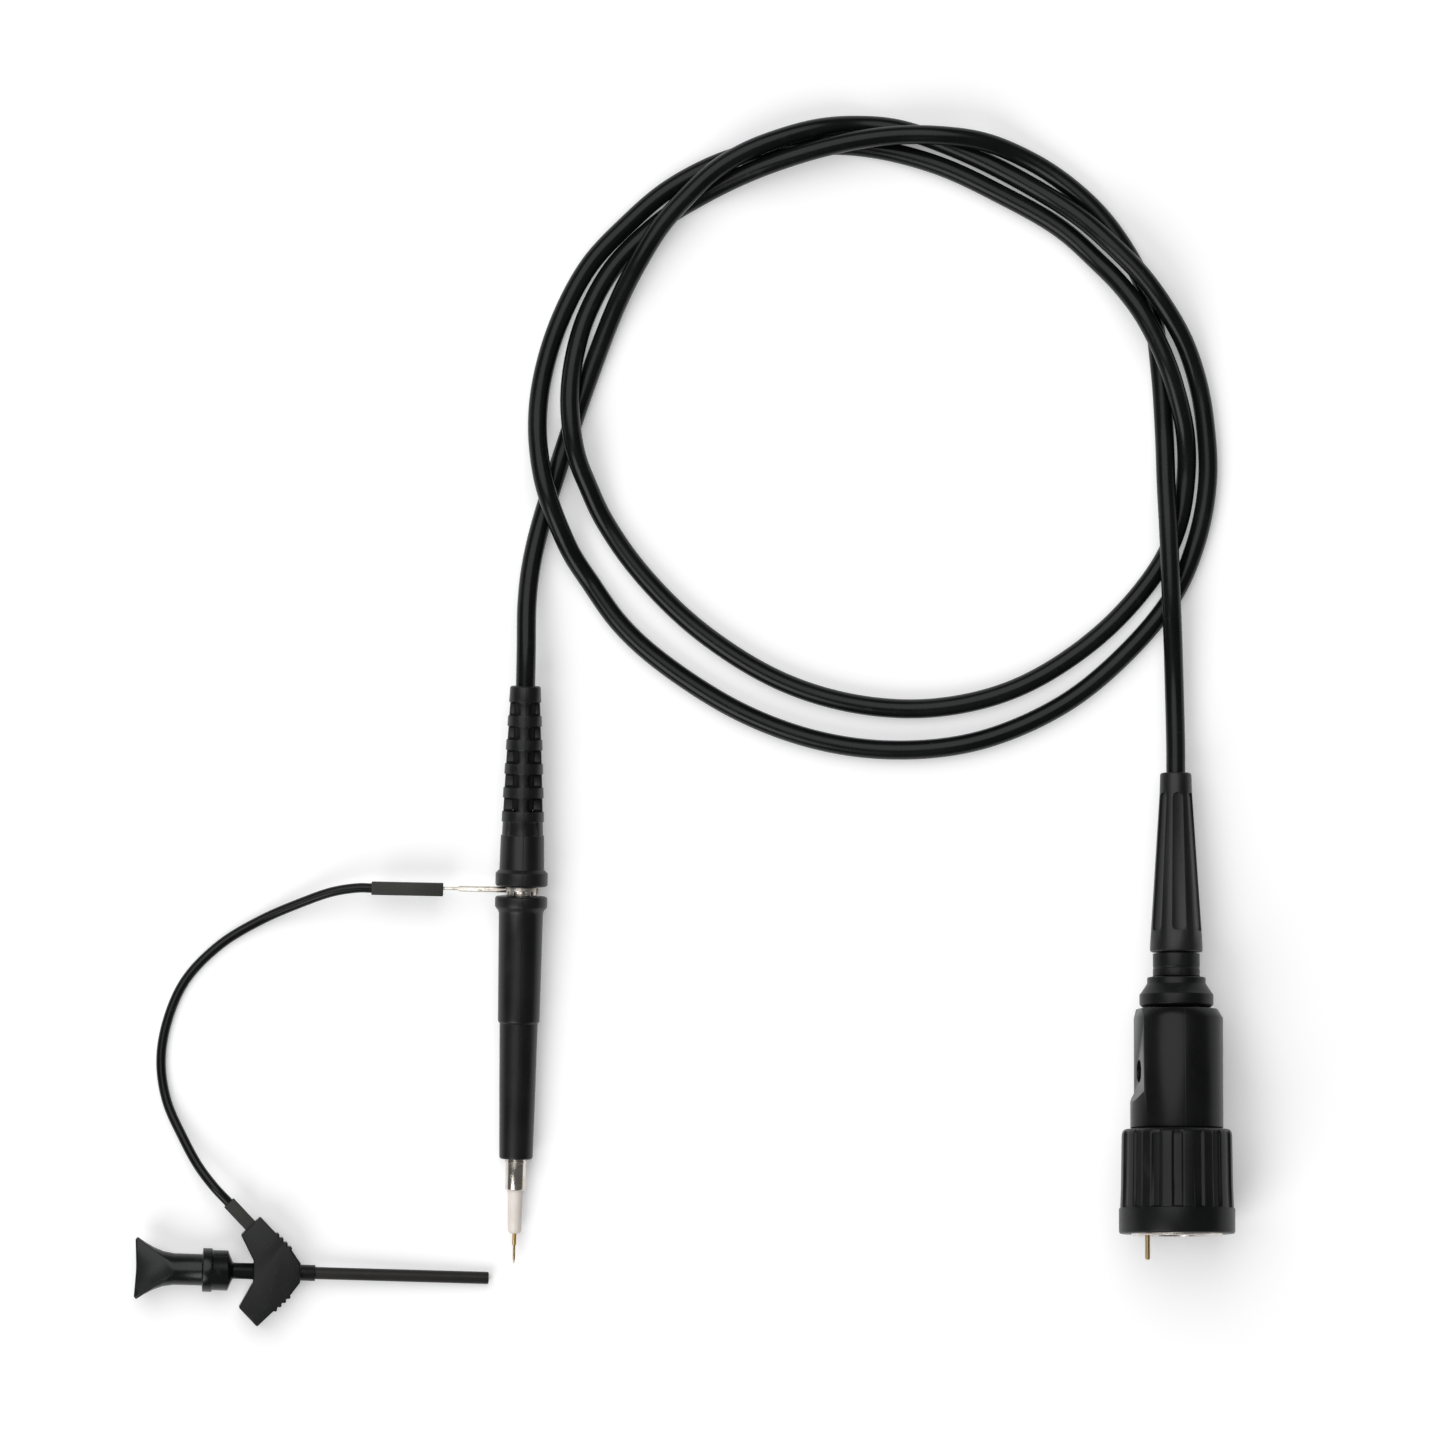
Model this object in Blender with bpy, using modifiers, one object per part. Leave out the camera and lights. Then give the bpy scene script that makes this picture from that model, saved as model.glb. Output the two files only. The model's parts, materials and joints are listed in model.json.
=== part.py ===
# Passive oscilloscope probe: probe head, coiled main cable, bayonet plug with its
# compensation box, and the ground lead with its push-on clip and spring grabber.
#
# Sizes are in millimetres and become metres where geometry is made. X runs to the
# right, Y runs up the layout and Z is up from the bench, which is at z = 0.
import math

import bmesh
import bpy
import numpy as np
from mathutils import Matrix, Vector

MM = 0.001
TOUCH = 0.00001           # metres within which two vertices share a place

# Clearances
SEAT_GAP = 0.3            # between two pieces that touch
FINE_GAP = 0.1            # round the thin pins of the probe tip
OVERCUT = 1.0             # how far a cutter runs past the face that it opens

# Facets round a turned piece
FINE_STEPS = 44
RING_STEPS = 34
ROUND_STEPS = 28
BORE_STEPS = 24
SLIM_STEPS = 16
SMALL_STEPS = 14
TINY_STEPS = 10
GROOVE_STEPS = 8
ROUTE_STEPS = 24

# Main cable and ground lead
CABLE_DIA = 3.8
CABLE_SAMPLES = 76
LEAD_DIA = 1.9
LEAD_SAMPLES = 30
LEAD_START_STRAIGHT = 2.5
LEAD_END_STRAIGHT = 4.2
CABLE_END_STRAIGHT = 5.0

# Probe head, along its axis from the middle of the clip groove; + is to the cable
HEAD_X = -31.7
HEAD_Y = 22.4
HEAD_LEAN = 1.2
GROOVE_HALF = 0.98
COLLAR_R = 5.12
COLLAR_LEN = 2.6
COLLAR_CHAMFER = 0.7
BOOT_LEN = 39.2
BOOT_TOP_R = 3.0
BOOT_RIM_LEN = 3.1
BOOT_BASE_R = 4.4
BOOT_SOLID_LEN = 6.2
BOOT_RIM_PROUD = 0.22
BOOT_TOP_ROUND = 0.25
COLLAR_EDGE = 0.3
WINDOW_ROWS = 6
WINDOW_PITCH = 4.68
WINDOW_HEIGHT = 2.75
WINDOW_RIB = 1.45
WINDOW_CORNER = 0.5
WINDOW_EASE = 0.15
WINDOW_SHALLOW_DEPTH = 0.6
BARREL_LEN = 51.5
BARREL_TOP_R = 4.31
BARREL_STEP_AT = 24.5
BARREL_STEP_R = 4.07
BARREL_STEP_DROP = 0.34
BARREL_STEP_LEN = 0.5
BARREL_END_R = 3.28
BARREL_END_ROUND = 0.3

# Metal ground sleeve through the head
SLEEVE_R = 2.55
SLEEVE_NOSE_R = 2.05
SLEEVE_WALL = 0.35
SLEEVE_TAIL_LEN = 8.3
SLEEVE_STEP_AT = 21.5
SLEEVE_STEP_LEN = 1.0
SLEEVE_NOSE_OUT = 6.1
SLEEVE_NOSE_ROUND = 0.2
FERRULE_LEN = 5.9

# Probe tip
INSULATOR_OUT = 8.2
INSULATOR_ROOT_R = 1.45
INSULATOR_END_R = 1.31
INSULATOR_END_ROUND = 0.4
INSULATOR_END_EASE = 0.12
INSULATOR_TAIL_AT = 24.2
TIP_TUBE_R = 0.41
TIP_TUBE_BORE_R = 0.31
TIP_TUBE_OUT = 2.3
TIP_TUBE_LEN = 19.0
TIP_TUBE_PLUG = 2.0
NEEDLE_R = 0.24
NEEDLE_OUT = 3.7
NEEDLE_POINT = 1.0
NEEDLE_TAIL = 9.0
TIP_SPRING_WIRE = 0.08
TIP_SPRING_TURNS = 7
LEAD_IN_R = 0.28
LEAD_IN_PROUD = 1.0
SPRING_SIDES = 8

# Divider parts in the head
DIVIDER_WIDTH = 3.8
DIVIDER_THICK = 0.6
DIVIDER_LEN = 24.0
DIVIDER_FROM = 6.0
DIVIDER_RESISTOR_R = 0.55
DIVIDER_RESISTOR_LEN = 6.3
DIVIDER_RESISTOR_BACK = 5.0
DIVIDER_CAPACITOR = (1.6, 0.9, 3.2)
DIVIDER_CAPACITOR_FORE = 3.0

# Ground clip: sheet ring, rolled arm and pin
CLIP_SHEET = 0.35
CLIP_RING_GAP = 0.15
CLIP_HALF_HEIGHT = 0.82
CLIP_MOUTH = 2.4
CLIP_NOTCH = 0.5
CLIP_NOTCHES = 6
CLIP_NOTCH_FROM = 210.0
CLIP_NOTCH_STEP = 26.0
CLIP_ARM_R = 0.67
CLIP_ARM_END = 12.3
CLIP_ARM_TAPER = 0.6
CLIP_PIN_POINT = 0.3
CLIP_PIN_R = 0.35
CLIP_PIN_INSERT = 5.8

# Single-pole header sockets at the two ends of the ground lead
SOCKET_SIDE = 2.54
SOCKET_LEN = 14.0
SOCKET_BEVEL = 0.12
SOCKET_BORE_R = 0.95
SOCKET_MOUTH_R = 0.62
SOCKET_MOUTH_LEN = 0.9
SOCKET_TAIL_R = 0.4
SOCKET_TAIL_LEN = 1.6
SOCKET_WINDOW = (5.2, 1.1)
SOCKET_WINDOW_AT = 5.0
SOCKET_SLOT_LEN = 2.0
SOCKET_SLOT_AT = 11.0
CONTACT_R = 0.7
CONTACT_BORE_R = 0.5
CLIP_SOCKET_AT = 15.3

# Grabber, along its tube from the body's rear face
GRABBER_X = -84.2
GRABBER_Y = -52.0
GRABBER_YAW = -1.8
BODY_THICK = 5.0
BODY_BEVEL = 0.25
BODY_NOSE_X = 9.2
BODY_NOSE_HALF = 1.85
BODY_REAR_HALF = 2.1
WING_ANGLE = 45.0
WING_ROOT_X = 8.1
WING_REACH = 12.6
WING_WIDTH = 5.2
GRIP_BUMPS = 4
GRIP_BUMP_R = 0.42
GRIP_PITCH = 1.2
GRIP_FROM = 4.9
BOSS_R = 1.57
BOSS_LEN = 2.9
GRABBER_TUBE_R = 1.2
GRABBER_TUBE_END = 46.1
GRABBER_TUBE_BORE_R = 0.55
TUBE_EDGE = 0.15
TUBE_STUB_R = 0.9
TUBE_STUB_LEN = 2.8
SPRING_ROOM_END = 8.0
GRABBER_SOCKET_DEPTH = 7.8
GRABBER_PIN_SIDE = 0.64
GRABBER_PIN_LEN = 6.6

# Grabber plunger
PLUNGER_R = 1.6
PLUNGER_FRONT = 1.8
PLUNGER_TRAVEL = 3.5
KNOB_FACE_X = -4.0
KNOB_COLLAR_R = 3.95
KNOB_CHAMFER_LEN = 1.0
KNOB_RIM_X = -8.1
KNOB_RIM_R = 4.3
KNOB_RIM_LEN = 1.8
KNOB_STEP = 0.1
KNOB_NECK_R = 3.1
KNOB_FLARE_POWER = 1.75
KNOB_FLARE_SHARES = (0.3, 0.55, 0.8, 1.0)
KNOB_LIP = 0.45
KNOB_FLARE_X = -15.5
KNOB_END_X = -23.2
KNOB_END_R = 6.15
KNOB_DISH = 0.35
KNOB_END_THICK = 2.4
HOOK_WIRE_R = 0.4
HOOK_END_BACK = 0.5
HOOK_NOTCH_LEN = 0.9
HOOK_NOTCH_OUT = 0.7
GRABBER_SPRING_R = 1.2
GRABBER_SPRING_WIRE = 0.32
GRABBER_SPRING_TURNS = 4.5
GRABBER_SPRING_EASE = 0.48

# Bayonet plug, along its axis from the front face of the lock ring; + is forward
PLUG_X = 96.3
PLUG_Y = -44.3
LOCK_R = 11.35
LOCK_REAR_R = 10.8
LOCK_LEN = 20.4
LOCK_BORE_R = 9.3
LOCK_EDGE = 0.5
LOCK_BAND_LEN = 5.0
LOCK_GROOVES = 16
LOCK_GROOVE_R = 0.75
LOCK_GROOVE_DEPTH = 0.5
LOCK_GROOVE_PHASE = 4.0
RING_PROUD = 0.35
RING_DISC_THICK = 1.25
RING_EDGE = 0.2
RING_TUBE_R = 6.9
RING_BORE_R = 4.95
RING_REAR_BORE_R = 6.3
RING_TUBE_END = 18.8
BAYONET_SLOT_R = 1.05
BAYONET_SLOT_DEPTH = 0.75
BAYONET_ENTRY = 4.2
BAYONET_RAMP = 3.2
BAYONET_TURN = 78.0
BAYONET_PHASE = 20.0
BAYONET_STEPS = 5
KEEPER_THICK = 1.0
RING_SPRING_WIRE = 0.6
RING_SPRING_TURNS = 3
RING_TURN = 90.0
SHELL_R = 4.05
SHELL_BORE_R = 3.35
SHELL_FRONT = 1.5
SHELL_EDGE = 0.15
SHELL_CONE_LEN = 1.0
SHELL_SLIT = 0.5
SHELL_SLIT_LEN = 8.0
FLANGE_AT = 11.2
FLANGE_THICK = 2.0
SHANK_R = 4.3
SHANK_BORE_R = 2.0
SHANK_END = 27.0
PLUG_NUT_ACROSS = 10.6
PLUG_NUT_THICK = 2.0
DIELECTRIC_FRONT = 7.5
DIELECTRIC_END = 26.5
CENTRE_PIN_R = 0.65
CENTRE_PIN_FRONT = 3.4
CENTRE_PIN_TIP_R = 0.3
CENTRE_PIN_TAPER = 1.0
GASKET_THICK = 1.0

# Read-out pin beside the plug
READOUT_ORBIT_R = 7.9
READOUT_ANGLE = 139.0
READOUT_PIN_R = 0.5
READOUT_OUT = 5.2
READOUT_TAIL = 12.0
READOUT_TRAVEL = 2.5
READOUT_BARREL_R = 0.75
READOUT_BARREL_FRONT = 1.5
READOUT_BARREL_END = 24.4
READOUT_BARREL_PLUG = 2.0
READOUT_WIRE_R = 0.2
READOUT_EDGE = 0.15
READOUT_SPRING_EASE = 0.2
READOUT_SPRING_WIRE = 0.12
READOUT_SPRING_TURNS = 7
READOUT_SLOT_HALF = 0.8

# Compensation box
BOX_R = 9.1
BOX_FRONT = 20.6
BOX_REAR = 43.9
BOX_WALL = 1.1
BOX_FRONT_WALL = 3.0
BOX_SPIGOT_R = 8.9
BOX_SPIGOT_LEN = 1.4
BOX_CHAMFER = 1.8
BOX_CHAMFER_R = 8.1
BOX_EDGE = 0.15
BOX_ROLL = -9.0
FLAT_AT = 7.5
FLAT_FROM = 27.6
FLAT_RAMP = 2.1
TRIM_HOLE_R = 2.25
TRIM_HOLE_AT = 31.7
BOARD_FACE = 2.0
BOARD_THICK = 1.0
BOARD_LEN = 13.6
BOARD_FROM = 27.6
TRIMMER_SIDE = 4.6
TRIMMER_HEIGHT = 2.7
ROTOR_R = 1.6
ROTOR_HEIGHT = 0.75
ROTOR_SLOT = 0.45
BOARD_RESISTOR_R = 0.9
BOARD_RESISTOR_LEN = 5.5
BOARD_RESISTOR_ASIDE = 2.2

# Rear end of the plug: nut, cable gland and boot
NUT_R = 7.24
NUT_NECK_R = 5.73
NUT_LEN = 5.9
NUT_NECK_LEN = 1.4
NUT_FLARE_LEN = 2.1
NUT_CHAMFER = 0.6
NUT_EDGE = 0.2
GLAND_R = 4.6
GLAND_NECK_LEN = 4.3
GLAND_STUB_R = 3.6
GLAND_STUB_END = 41.5
GLAND_TAIL_LEN = 7.5
GLAND_STOP_LEN = 1.0
GLAND_CORE_R = 1.2
PLUG_BOOT_LEN = 35.1
PLUG_BOOT_R = 5.15
PLUG_BOOT_TOP_R = 3.08
PLUG_BOOT_BAND = 4.1
PLUG_BOOT_TOP_BAND = 3.9
PLUG_BOOT_EDGE = 0.25
PLUG_BOOT_RIM = 1.2
PLUG_BOOT_SWELL = 0.1
PLUG_BOOT_FLUTES = 6
PLUG_BOOT_FLUTE_DEPTH = 0.5
PLUG_BOOT_FLUTE_WIDE = 2.8
PLUG_BOOT_FLUTE_NARROW = 2.0
PLUG_BOOT_FLUTE_ROUND = 0.84
PLUG_BOOT_FLUTE_REACH = 2.0
PLUG_BOOT_FLUTE_PHASE = 5.0

# Colours as (red, green, blue), roughness and metallic value
FINISHES = {
    "soft_black": ((0.018, 0.019, 0.018), 0.62, 0.0),
    "hard_black": ((0.015, 0.017, 0.016), 0.45, 0.0),
    "grabber_black": ((0.016, 0.017, 0.016), 0.5, 0.0),
    "socket_grey": ((0.06, 0.065, 0.055), 0.6, 0.0),
    "cable_black": ((0.014, 0.015, 0.015), 0.4, 0.0),
    "nickel": ((0.62, 0.6, 0.56), 0.28, 1.0),
    "tin": ((0.66, 0.64, 0.6), 0.42, 1.0),
    "gold": ((0.78, 0.56, 0.24), 0.25, 1.0),
    "brass": ((0.55, 0.42, 0.2), 0.35, 1.0),
    "steel": ((0.5, 0.5, 0.5), 0.3, 1.0),
    "white_plastic": ((0.78, 0.7, 0.67), 0.4, 0.0),
    "ceramic": ((0.75, 0.74, 0.7), 0.5, 0.0),
    "board_green": ((0.03, 0.12, 0.05), 0.5, 0.0),
    "part_tan": ((0.45, 0.33, 0.2), 0.5, 0.0),
    "silicone": ((0.4, 0.12, 0.08), 0.6, 0.0),
}


# Scene set-up

def clear_scene():
    for item in list(bpy.data.objects):
        bpy.data.objects.remove(item, do_unlink=True)


def new_collection(name):
    collection = bpy.data.collections.new(name)
    bpy.context.scene.collection.children.link(collection)
    return collection


clear_scene()
PROBE = new_collection("oscilloscope_probe")
CUTTERS = new_collection("probe_cutters")


def finish_material(finish):
    found = bpy.data.materials.get(finish)
    if found:
        return found
    colour, roughness, metallic = FINISHES[finish]
    material = bpy.data.materials.new(finish)
    material.use_nodes = True
    shader = material.node_tree.nodes["Principled BSDF"]
    shader.inputs["Base Color"].default_value = (*colour, 1.0)
    shader.inputs["Roughness"].default_value = roughness
    shader.inputs["Metallic"].default_value = metallic
    return material


def frame_empty(name, location, rotation, parent=None):
    empty = bpy.data.objects.new(name, None)
    empty.matrix_world = Matrix.Translation(Vector(location) * MM) @ rotation.to_4x4()
    PROBE.objects.link(empty)
    if parent:
        empty.parent = parent
    bpy.context.view_layer.update()
    return empty


def add_object(name, data, finish, frame, place=None):
    # A finish makes a piece; without one the object is a cutter.
    item = bpy.data.objects.new(name, data)
    (PROBE if finish else CUTTERS).objects.link(item)
    item.parent = frame
    item.matrix_local = place or Matrix.Identity(4)
    if finish:
        item.data.materials.append(finish_material(finish))
    else:
        item.hide_render = True
        item.display_type = "WIRE"
    return item


def mesh_object(name, build, finish, frame, place=None):
    shape = bmesh.new()
    build(shape)
    mesh = bpy.data.meshes.new(name)
    shape.to_mesh(mesh)
    shape.free()
    return add_object(name, mesh, finish, frame, place)


# Shapes

def along_x():
    # turns a piece made round Z so that its axis lies along X
    return Matrix.Rotation(math.radians(90.0), 4, "Y")


def shifted(x=0.0, y=0.0, z=0.0):
    return Matrix.Translation(Vector((x, y, z)) * MM)


def turned(name, profile, finish, frame, steps=ROUND_STEPS, place=None):
    # profile: (radius, height) down the outer side, then up the bore if there is one
    def build(shape):
        points = [shape.verts.new((r * MM, 0.0, z * MM)) for r, z in profile]
        for one, two in zip(points, points[1:]):
            shape.edges.new((one, two))
        if profile[0][0] > 0.0:
            shape.edges.new((points[-1], points[0]))

    piece = mesh_object(name, build, finish, frame, place)
    screw = piece.modifiers.new("turn", "SCREW")
    screw.axis = "Z"
    screw.angle = 2.0 * math.pi
    screw.steps = steps
    screw.render_steps = steps
    screw.use_merge_vertices = True
    screw.merge_threshold = 0.000005
    return piece


def sleeve_profile(outer, inner, top, bottom):
    return [(outer, top), (outer, bottom), (inner, bottom), (inner, top)]


def rod_profile(radius, top, bottom):
    return [(0.0, top), (radius, top), (radius, bottom), (0.0, bottom)]


def add_box(shape, size, centre, turn=None):
    scale = Matrix.Diagonal((*[side * MM for side in size], 1.0))
    matrix = (turn or Matrix.Identity(4)) @ shifted(*centre) @ scale
    return bmesh.ops.create_cube(shape, size=1.0, matrix=matrix)["verts"]


def add_drum(shape, radius, length, matrix, segments=SMALL_STEPS):
    bmesh.ops.create_cone(
        shape, cap_ends=True, segments=segments, radius1=radius * MM,
        radius2=radius * MM, depth=length * MM, matrix=matrix)


def box(name, size, centre, finish, frame, place=None, bevel=0.0):
    piece = mesh_object(
        name, lambda shape: add_box(shape, size, centre), finish, frame, place)
    if bevel:
        round_edges(piece, bevel)
    return piece


def drum(name, radius, length, matrix, finish, frame, segments=SMALL_STEPS):
    return mesh_object(
        name, lambda shape: add_drum(shape, radius, length, matrix, segments),
        finish, frame)


def round_edges(piece, width, segments=2, angle=40.0):
    bevel = piece.modifiers.new("edges", "BEVEL")
    bevel.width = width * MM
    bevel.segments = segments
    bevel.limit_method = "ANGLE"
    bevel.angle_limit = math.radians(angle)


def boolean(piece, tool, operation):
    step = piece.modifiers.new(tool.name, "BOOLEAN")
    step.operation = operation
    step.solver = "EXACT"
    step.object = tool


def cut(piece, tool):
    boolean(piece, tool, "DIFFERENCE")


def unite(piece, tool):
    boolean(piece, tool, "UNION")


def curve_to_mesh(item, finish):
    # a curve takes no Boolean, so it becomes a mesh with its caps welded on
    bpy.context.view_layer.update()
    evaluated = item.evaluated_get(bpy.context.evaluated_depsgraph_get())
    mesh = bpy.data.meshes.new_from_object(evaluated)
    shape = bmesh.new()
    shape.from_mesh(mesh)
    bmesh.ops.remove_doubles(shape, verts=shape.verts, dist=0.000002)
    shape.to_mesh(mesh)
    shape.free()
    name, place, frame = item.name, item.matrix_local.copy(), item.parent
    bpy.data.objects.remove(item)
    mesh.materials.clear()
    return add_object(name, mesh, finish, frame, place)


def wire(name, points, radius, finish, frame, sides=2):
    curve = bpy.data.curves.new(name, "CURVE")
    curve.dimensions = "3D"
    curve.bevel_depth = radius * MM
    curve.bevel_resolution = sides
    curve.use_fill_caps = True
    spline = curve.splines.new("POLY")
    spline.points.add(len(points) - 1)
    for point, place in zip(spline.points, points):
        point.co = (*(Vector(place) * MM), 1.0)
    return add_object(name, curve, finish, frame)


def plate(name, outline, thick, finish, frame, place=None):
    curve = bpy.data.curves.new(name, "CURVE")
    curve.dimensions = "2D"
    curve.fill_mode = "BOTH"
    curve.extrude = thick * MM / 2.0
    spline = curve.splines.new("POLY")
    spline.points.add(len(outline) - 1)
    for point, (x, y) in zip(spline.points, outline):
        point.co = (x * MM, y * MM, 0.0, 1.0)
    spline.use_cyclic_u = True
    item = add_object(name, curve, finish, frame, place)
    return curve_to_mesh(item, finish)


def coil_points(radius, start, end, turns, per_turn=12):
    count = int(turns * per_turn)
    points = []
    for step in range(count + 1):
        share = step / count
        angle = 2.0 * math.pi * turns * share
        height = start + (end - start) * share
        points.append((radius * math.cos(angle), radius * math.sin(angle), height))
    return points


def arc_points(centre, radius, start, end, count):
    points = []
    for step in range(count + 1):
        angle = math.radians(start + (end - start) * step / count)
        points.append((centre[0] + radius * math.cos(angle),
                       centre[1] + radius * math.sin(angle)))
    return points


def between(one, two, start, end, knot):
    return one + (two - one) * (knot - start) / (end - start)


def smooth_route(points, samples, radius):
    # centripetal Catmull-Rom curve through the route's own points, then evenly spaced
    # samples that never sink below the bench
    places = np.array([tuple(point) for point in points], float)
    ends = np.vstack([2 * places[0] - places[1], places, 2 * places[-1] - places[-2]])
    fine = []
    for four in zip(ends, ends[1:], ends[2:], ends[3:]):
        spans = [np.linalg.norm(two - one) ** 0.5 for one, two in zip(four, four[1:])]
        knots = np.concatenate([[0.0], np.cumsum(spans)])
        for knot in np.linspace(knots[1], knots[2], ROUTE_STEPS, endpoint=False):
            row = [between(four[i], four[i + 1], knots[i], knots[i + 1], knot)
                   for i in range(3)]
            pair = [between(row[i], row[i + 1], knots[i], knots[i + 2], knot)
                    for i in range(2)]
            fine.append(between(*pair, knots[1], knots[2], knot))
    fine = np.array(fine + [places[-1]])
    steps = np.linalg.norm(np.diff(fine, axis=0), axis=1)
    length = np.concatenate([[0.0], np.cumsum(steps)])
    wanted = np.linspace(0.0, length[-1], samples)
    even = np.column_stack([np.interp(wanted, length, fine[:, axis]) for axis in range(3)])
    even[:, 2] = np.maximum(even[:, 2], radius)
    return even.tolist()


def world_point(frame, place):
    return tuple(frame.matrix_world @ (Vector(place) * MM) / MM)


# Places of the three assemblies on the bench

# The head lies on the edge of its lower collar and on the barrel's end.
BARREL_FRONT = GROOVE_HALF + BARREL_LEN
COLLAR_REST = GROOVE_HALF + COLLAR_LEN - COLLAR_CHAMFER
HEAD_PITCH = math.atan2(COLLAR_R - BARREL_END_R,
                        BARREL_FRONT - BARREL_END_ROUND - COLLAR_REST)
HEAD_Z = COLLAR_R * math.cos(HEAD_PITCH) + COLLAR_REST * math.sin(HEAD_PITCH)
HEAD = frame_empty(
    "head_axis", (HEAD_X, HEAD_Y, HEAD_Z),
    Matrix.Rotation(math.radians(-HEAD_LEAN), 3, "Z")
    @ Matrix.Rotation(math.radians(-90.0) + HEAD_PITCH, 3, "X"))

# The plug lies on the rear edges of its lock ring and of its box.
LOCK_REST = LOCK_LEN - 2.0 * LOCK_EDGE
PLUG_PITCH = math.atan2(LOCK_REAR_R - BOX_R, BOX_REAR - BOX_CHAMFER - LOCK_REST)
PLUG_Z = LOCK_REAR_R * math.cos(PLUG_PITCH) + LOCK_REST * math.sin(PLUG_PITCH)
PLUG = frame_empty("plug_axis", (PLUG_X, PLUG_Y, PLUG_Z),
                   Matrix.Rotation(math.radians(90.0) - PLUG_PITCH, 3, "X"))
BOX = frame_empty("box_axis", (0.0, 0.0, 0.0),
                  Matrix.Rotation(math.radians(BOX_ROLL), 3, "Z"), PLUG)

# The grabber lies on its knob's rim and on the end of its tube.
GRABBER_PITCH = math.atan2(KNOB_RIM_R - GRABBER_TUBE_R, GRABBER_TUBE_END - KNOB_RIM_X)
GRABBER_Z = (KNOB_RIM_R * math.cos(GRABBER_PITCH)
             + KNOB_RIM_X * math.sin(GRABBER_PITCH))
GRABBER = frame_empty(
    "grabber_axis", (GRABBER_X, GRABBER_Y, GRABBER_Z),
    Matrix.Rotation(math.radians(GRABBER_YAW), 3, "Z")
    @ Matrix.Rotation(GRABBER_PITCH, 3, "Y"))

# A socket of the ground lead lies along its own frame's X, mouth at the origin and
# wire end at -SOCKET_LEN.
CLIP_SOCKET = frame_empty("clip_socket_axis", (-CLIP_SOCKET_AT, 0.0, 0.0),
                          Matrix.Identity(3), HEAD)
WING_TURN = math.radians(WING_ANGLE)
WING_INWARD = Vector((math.cos(WING_TURN), -math.sin(WING_TURN), 0.0))
WING_MOUTH = Vector((WING_ROOT_X, 0.0, 0.0)) - WING_REACH * WING_INWARD
WING = frame_empty("wing_axis", WING_MOUTH, Matrix.Rotation(-WING_TURN, 3, "Z"), GRABBER)
GRABBER_SOCKET = frame_empty("grabber_socket_axis", (GRABBER_SOCKET_DEPTH, 0.0, 0.0),
                             Matrix.Identity(3), WING)


# Probe head

def boot_outline():
    # the boot swells from its top rim to its collar in a gentle curve
    top = GROOVE_HALF + BOOT_LEN
    foot = GROOVE_HALF + COLLAR_LEN + COLLAR_CHAMFER
    return top, foot


def boot_radius(height):
    top, foot = boot_outline()
    share = (top - height) / (top - foot)
    swell = 0.5 * share + 0.5 * math.sin(share * math.pi / 2.0)
    return BOOT_TOP_R + (BOOT_BASE_R - BOOT_TOP_R) * swell


def window_middle(row):
    top, _ = boot_outline()
    return top - BOOT_RIM_LEN - WINDOW_HEIGHT / 2.0 - row * WINDOW_PITCH


def make_probe_boot():
    top, foot = boot_outline()
    profile = [(BOOT_TOP_R - BOOT_TOP_ROUND, top), (BOOT_TOP_R, top - BOOT_TOP_ROUND),
               (boot_radius(top - BOOT_RIM_LEN), top - BOOT_RIM_LEN)]
    for row in range(WINDOW_ROWS):
        middle = window_middle(row)
        upper = middle + WINDOW_HEIGHT / 2.0
        lower = middle - WINDOW_HEIGHT / 2.0
        profile += [(boot_radius(upper) - BOOT_RIM_PROUD, upper - WINDOW_EASE),
                    (boot_radius(lower) - BOOT_RIM_PROUD, lower + WINDOW_EASE),
                    (boot_radius(lower), lower)]
        if row < WINDOW_ROWS - 1:
            edge = lower - (WINDOW_PITCH - WINDOW_HEIGHT)
            profile.append((boot_radius(edge), edge))
    collar_top = GROOVE_HALF + COLLAR_LEN
    bore = SLEEVE_R + SEAT_GAP
    cable_bore = CABLE_DIA / 2.0 + SEAT_GAP
    step = SLEEVE_TAIL_LEN + FERRULE_LEN + 2.0 * SEAT_GAP
    profile += [(BOOT_BASE_R, foot), (COLLAR_R, collar_top),
                (COLLAR_R, GROOVE_HALF + COLLAR_EDGE),
                (COLLAR_R - COLLAR_EDGE, GROOVE_HALF),
                (bore, GROOVE_HALF), (bore, step), (cable_bore, step), (cable_bore, top)]
    boot = turned("probe_boot", profile, "soft_black", HEAD, BORE_STEPS)

    def windows(shape):
        rib = WINDOW_RIB / 2.0
        reach = BOOT_BASE_R
        for row in range(WINDOW_ROWS):
            shallow = row == WINDOW_ROWS - 1
            height = window_middle(row)
            shelf = (boot_radius(height) - WINDOW_SHALLOW_DEPTH) / math.sqrt(2.0)
            inner = shelf if shallow else rib
            for quarter in range(4):
                turn = Matrix.Rotation(math.radians(90.0 * quarter), 4, "Z")
                middle = inner + reach / 2.0
                verts = add_box(shape, (reach, reach, WINDOW_HEIGHT),
                                (middle, middle, height), turn)
                if not shallow:
                    round_window(shape, verts, turn, inner)

    cut(boot, mesh_object("probe_boot_windows", windows, None, HEAD))


def round_window(shape, verts, turn, inner):
    # rounds the window's corners where its sides run out along a rib
    back = turn.inverted()
    near = inner * MM + TOUCH
    edges = []
    for edge in {edge for vert in verts for edge in vert.link_edges}:
        one, two = [back @ vert.co for vert in edge.verts]
        level = abs(one.z - two.z) < TOUCH
        on_rib = (max(one.x, two.x) < near) != (max(one.y, two.y) < near)
        if level and on_rib:
            edges.append(edge)
    bmesh.ops.bevel(shape, geom=edges, offset=WINDOW_CORNER * MM, segments=1,
                    profile=0.5, affect="EDGES")


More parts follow.
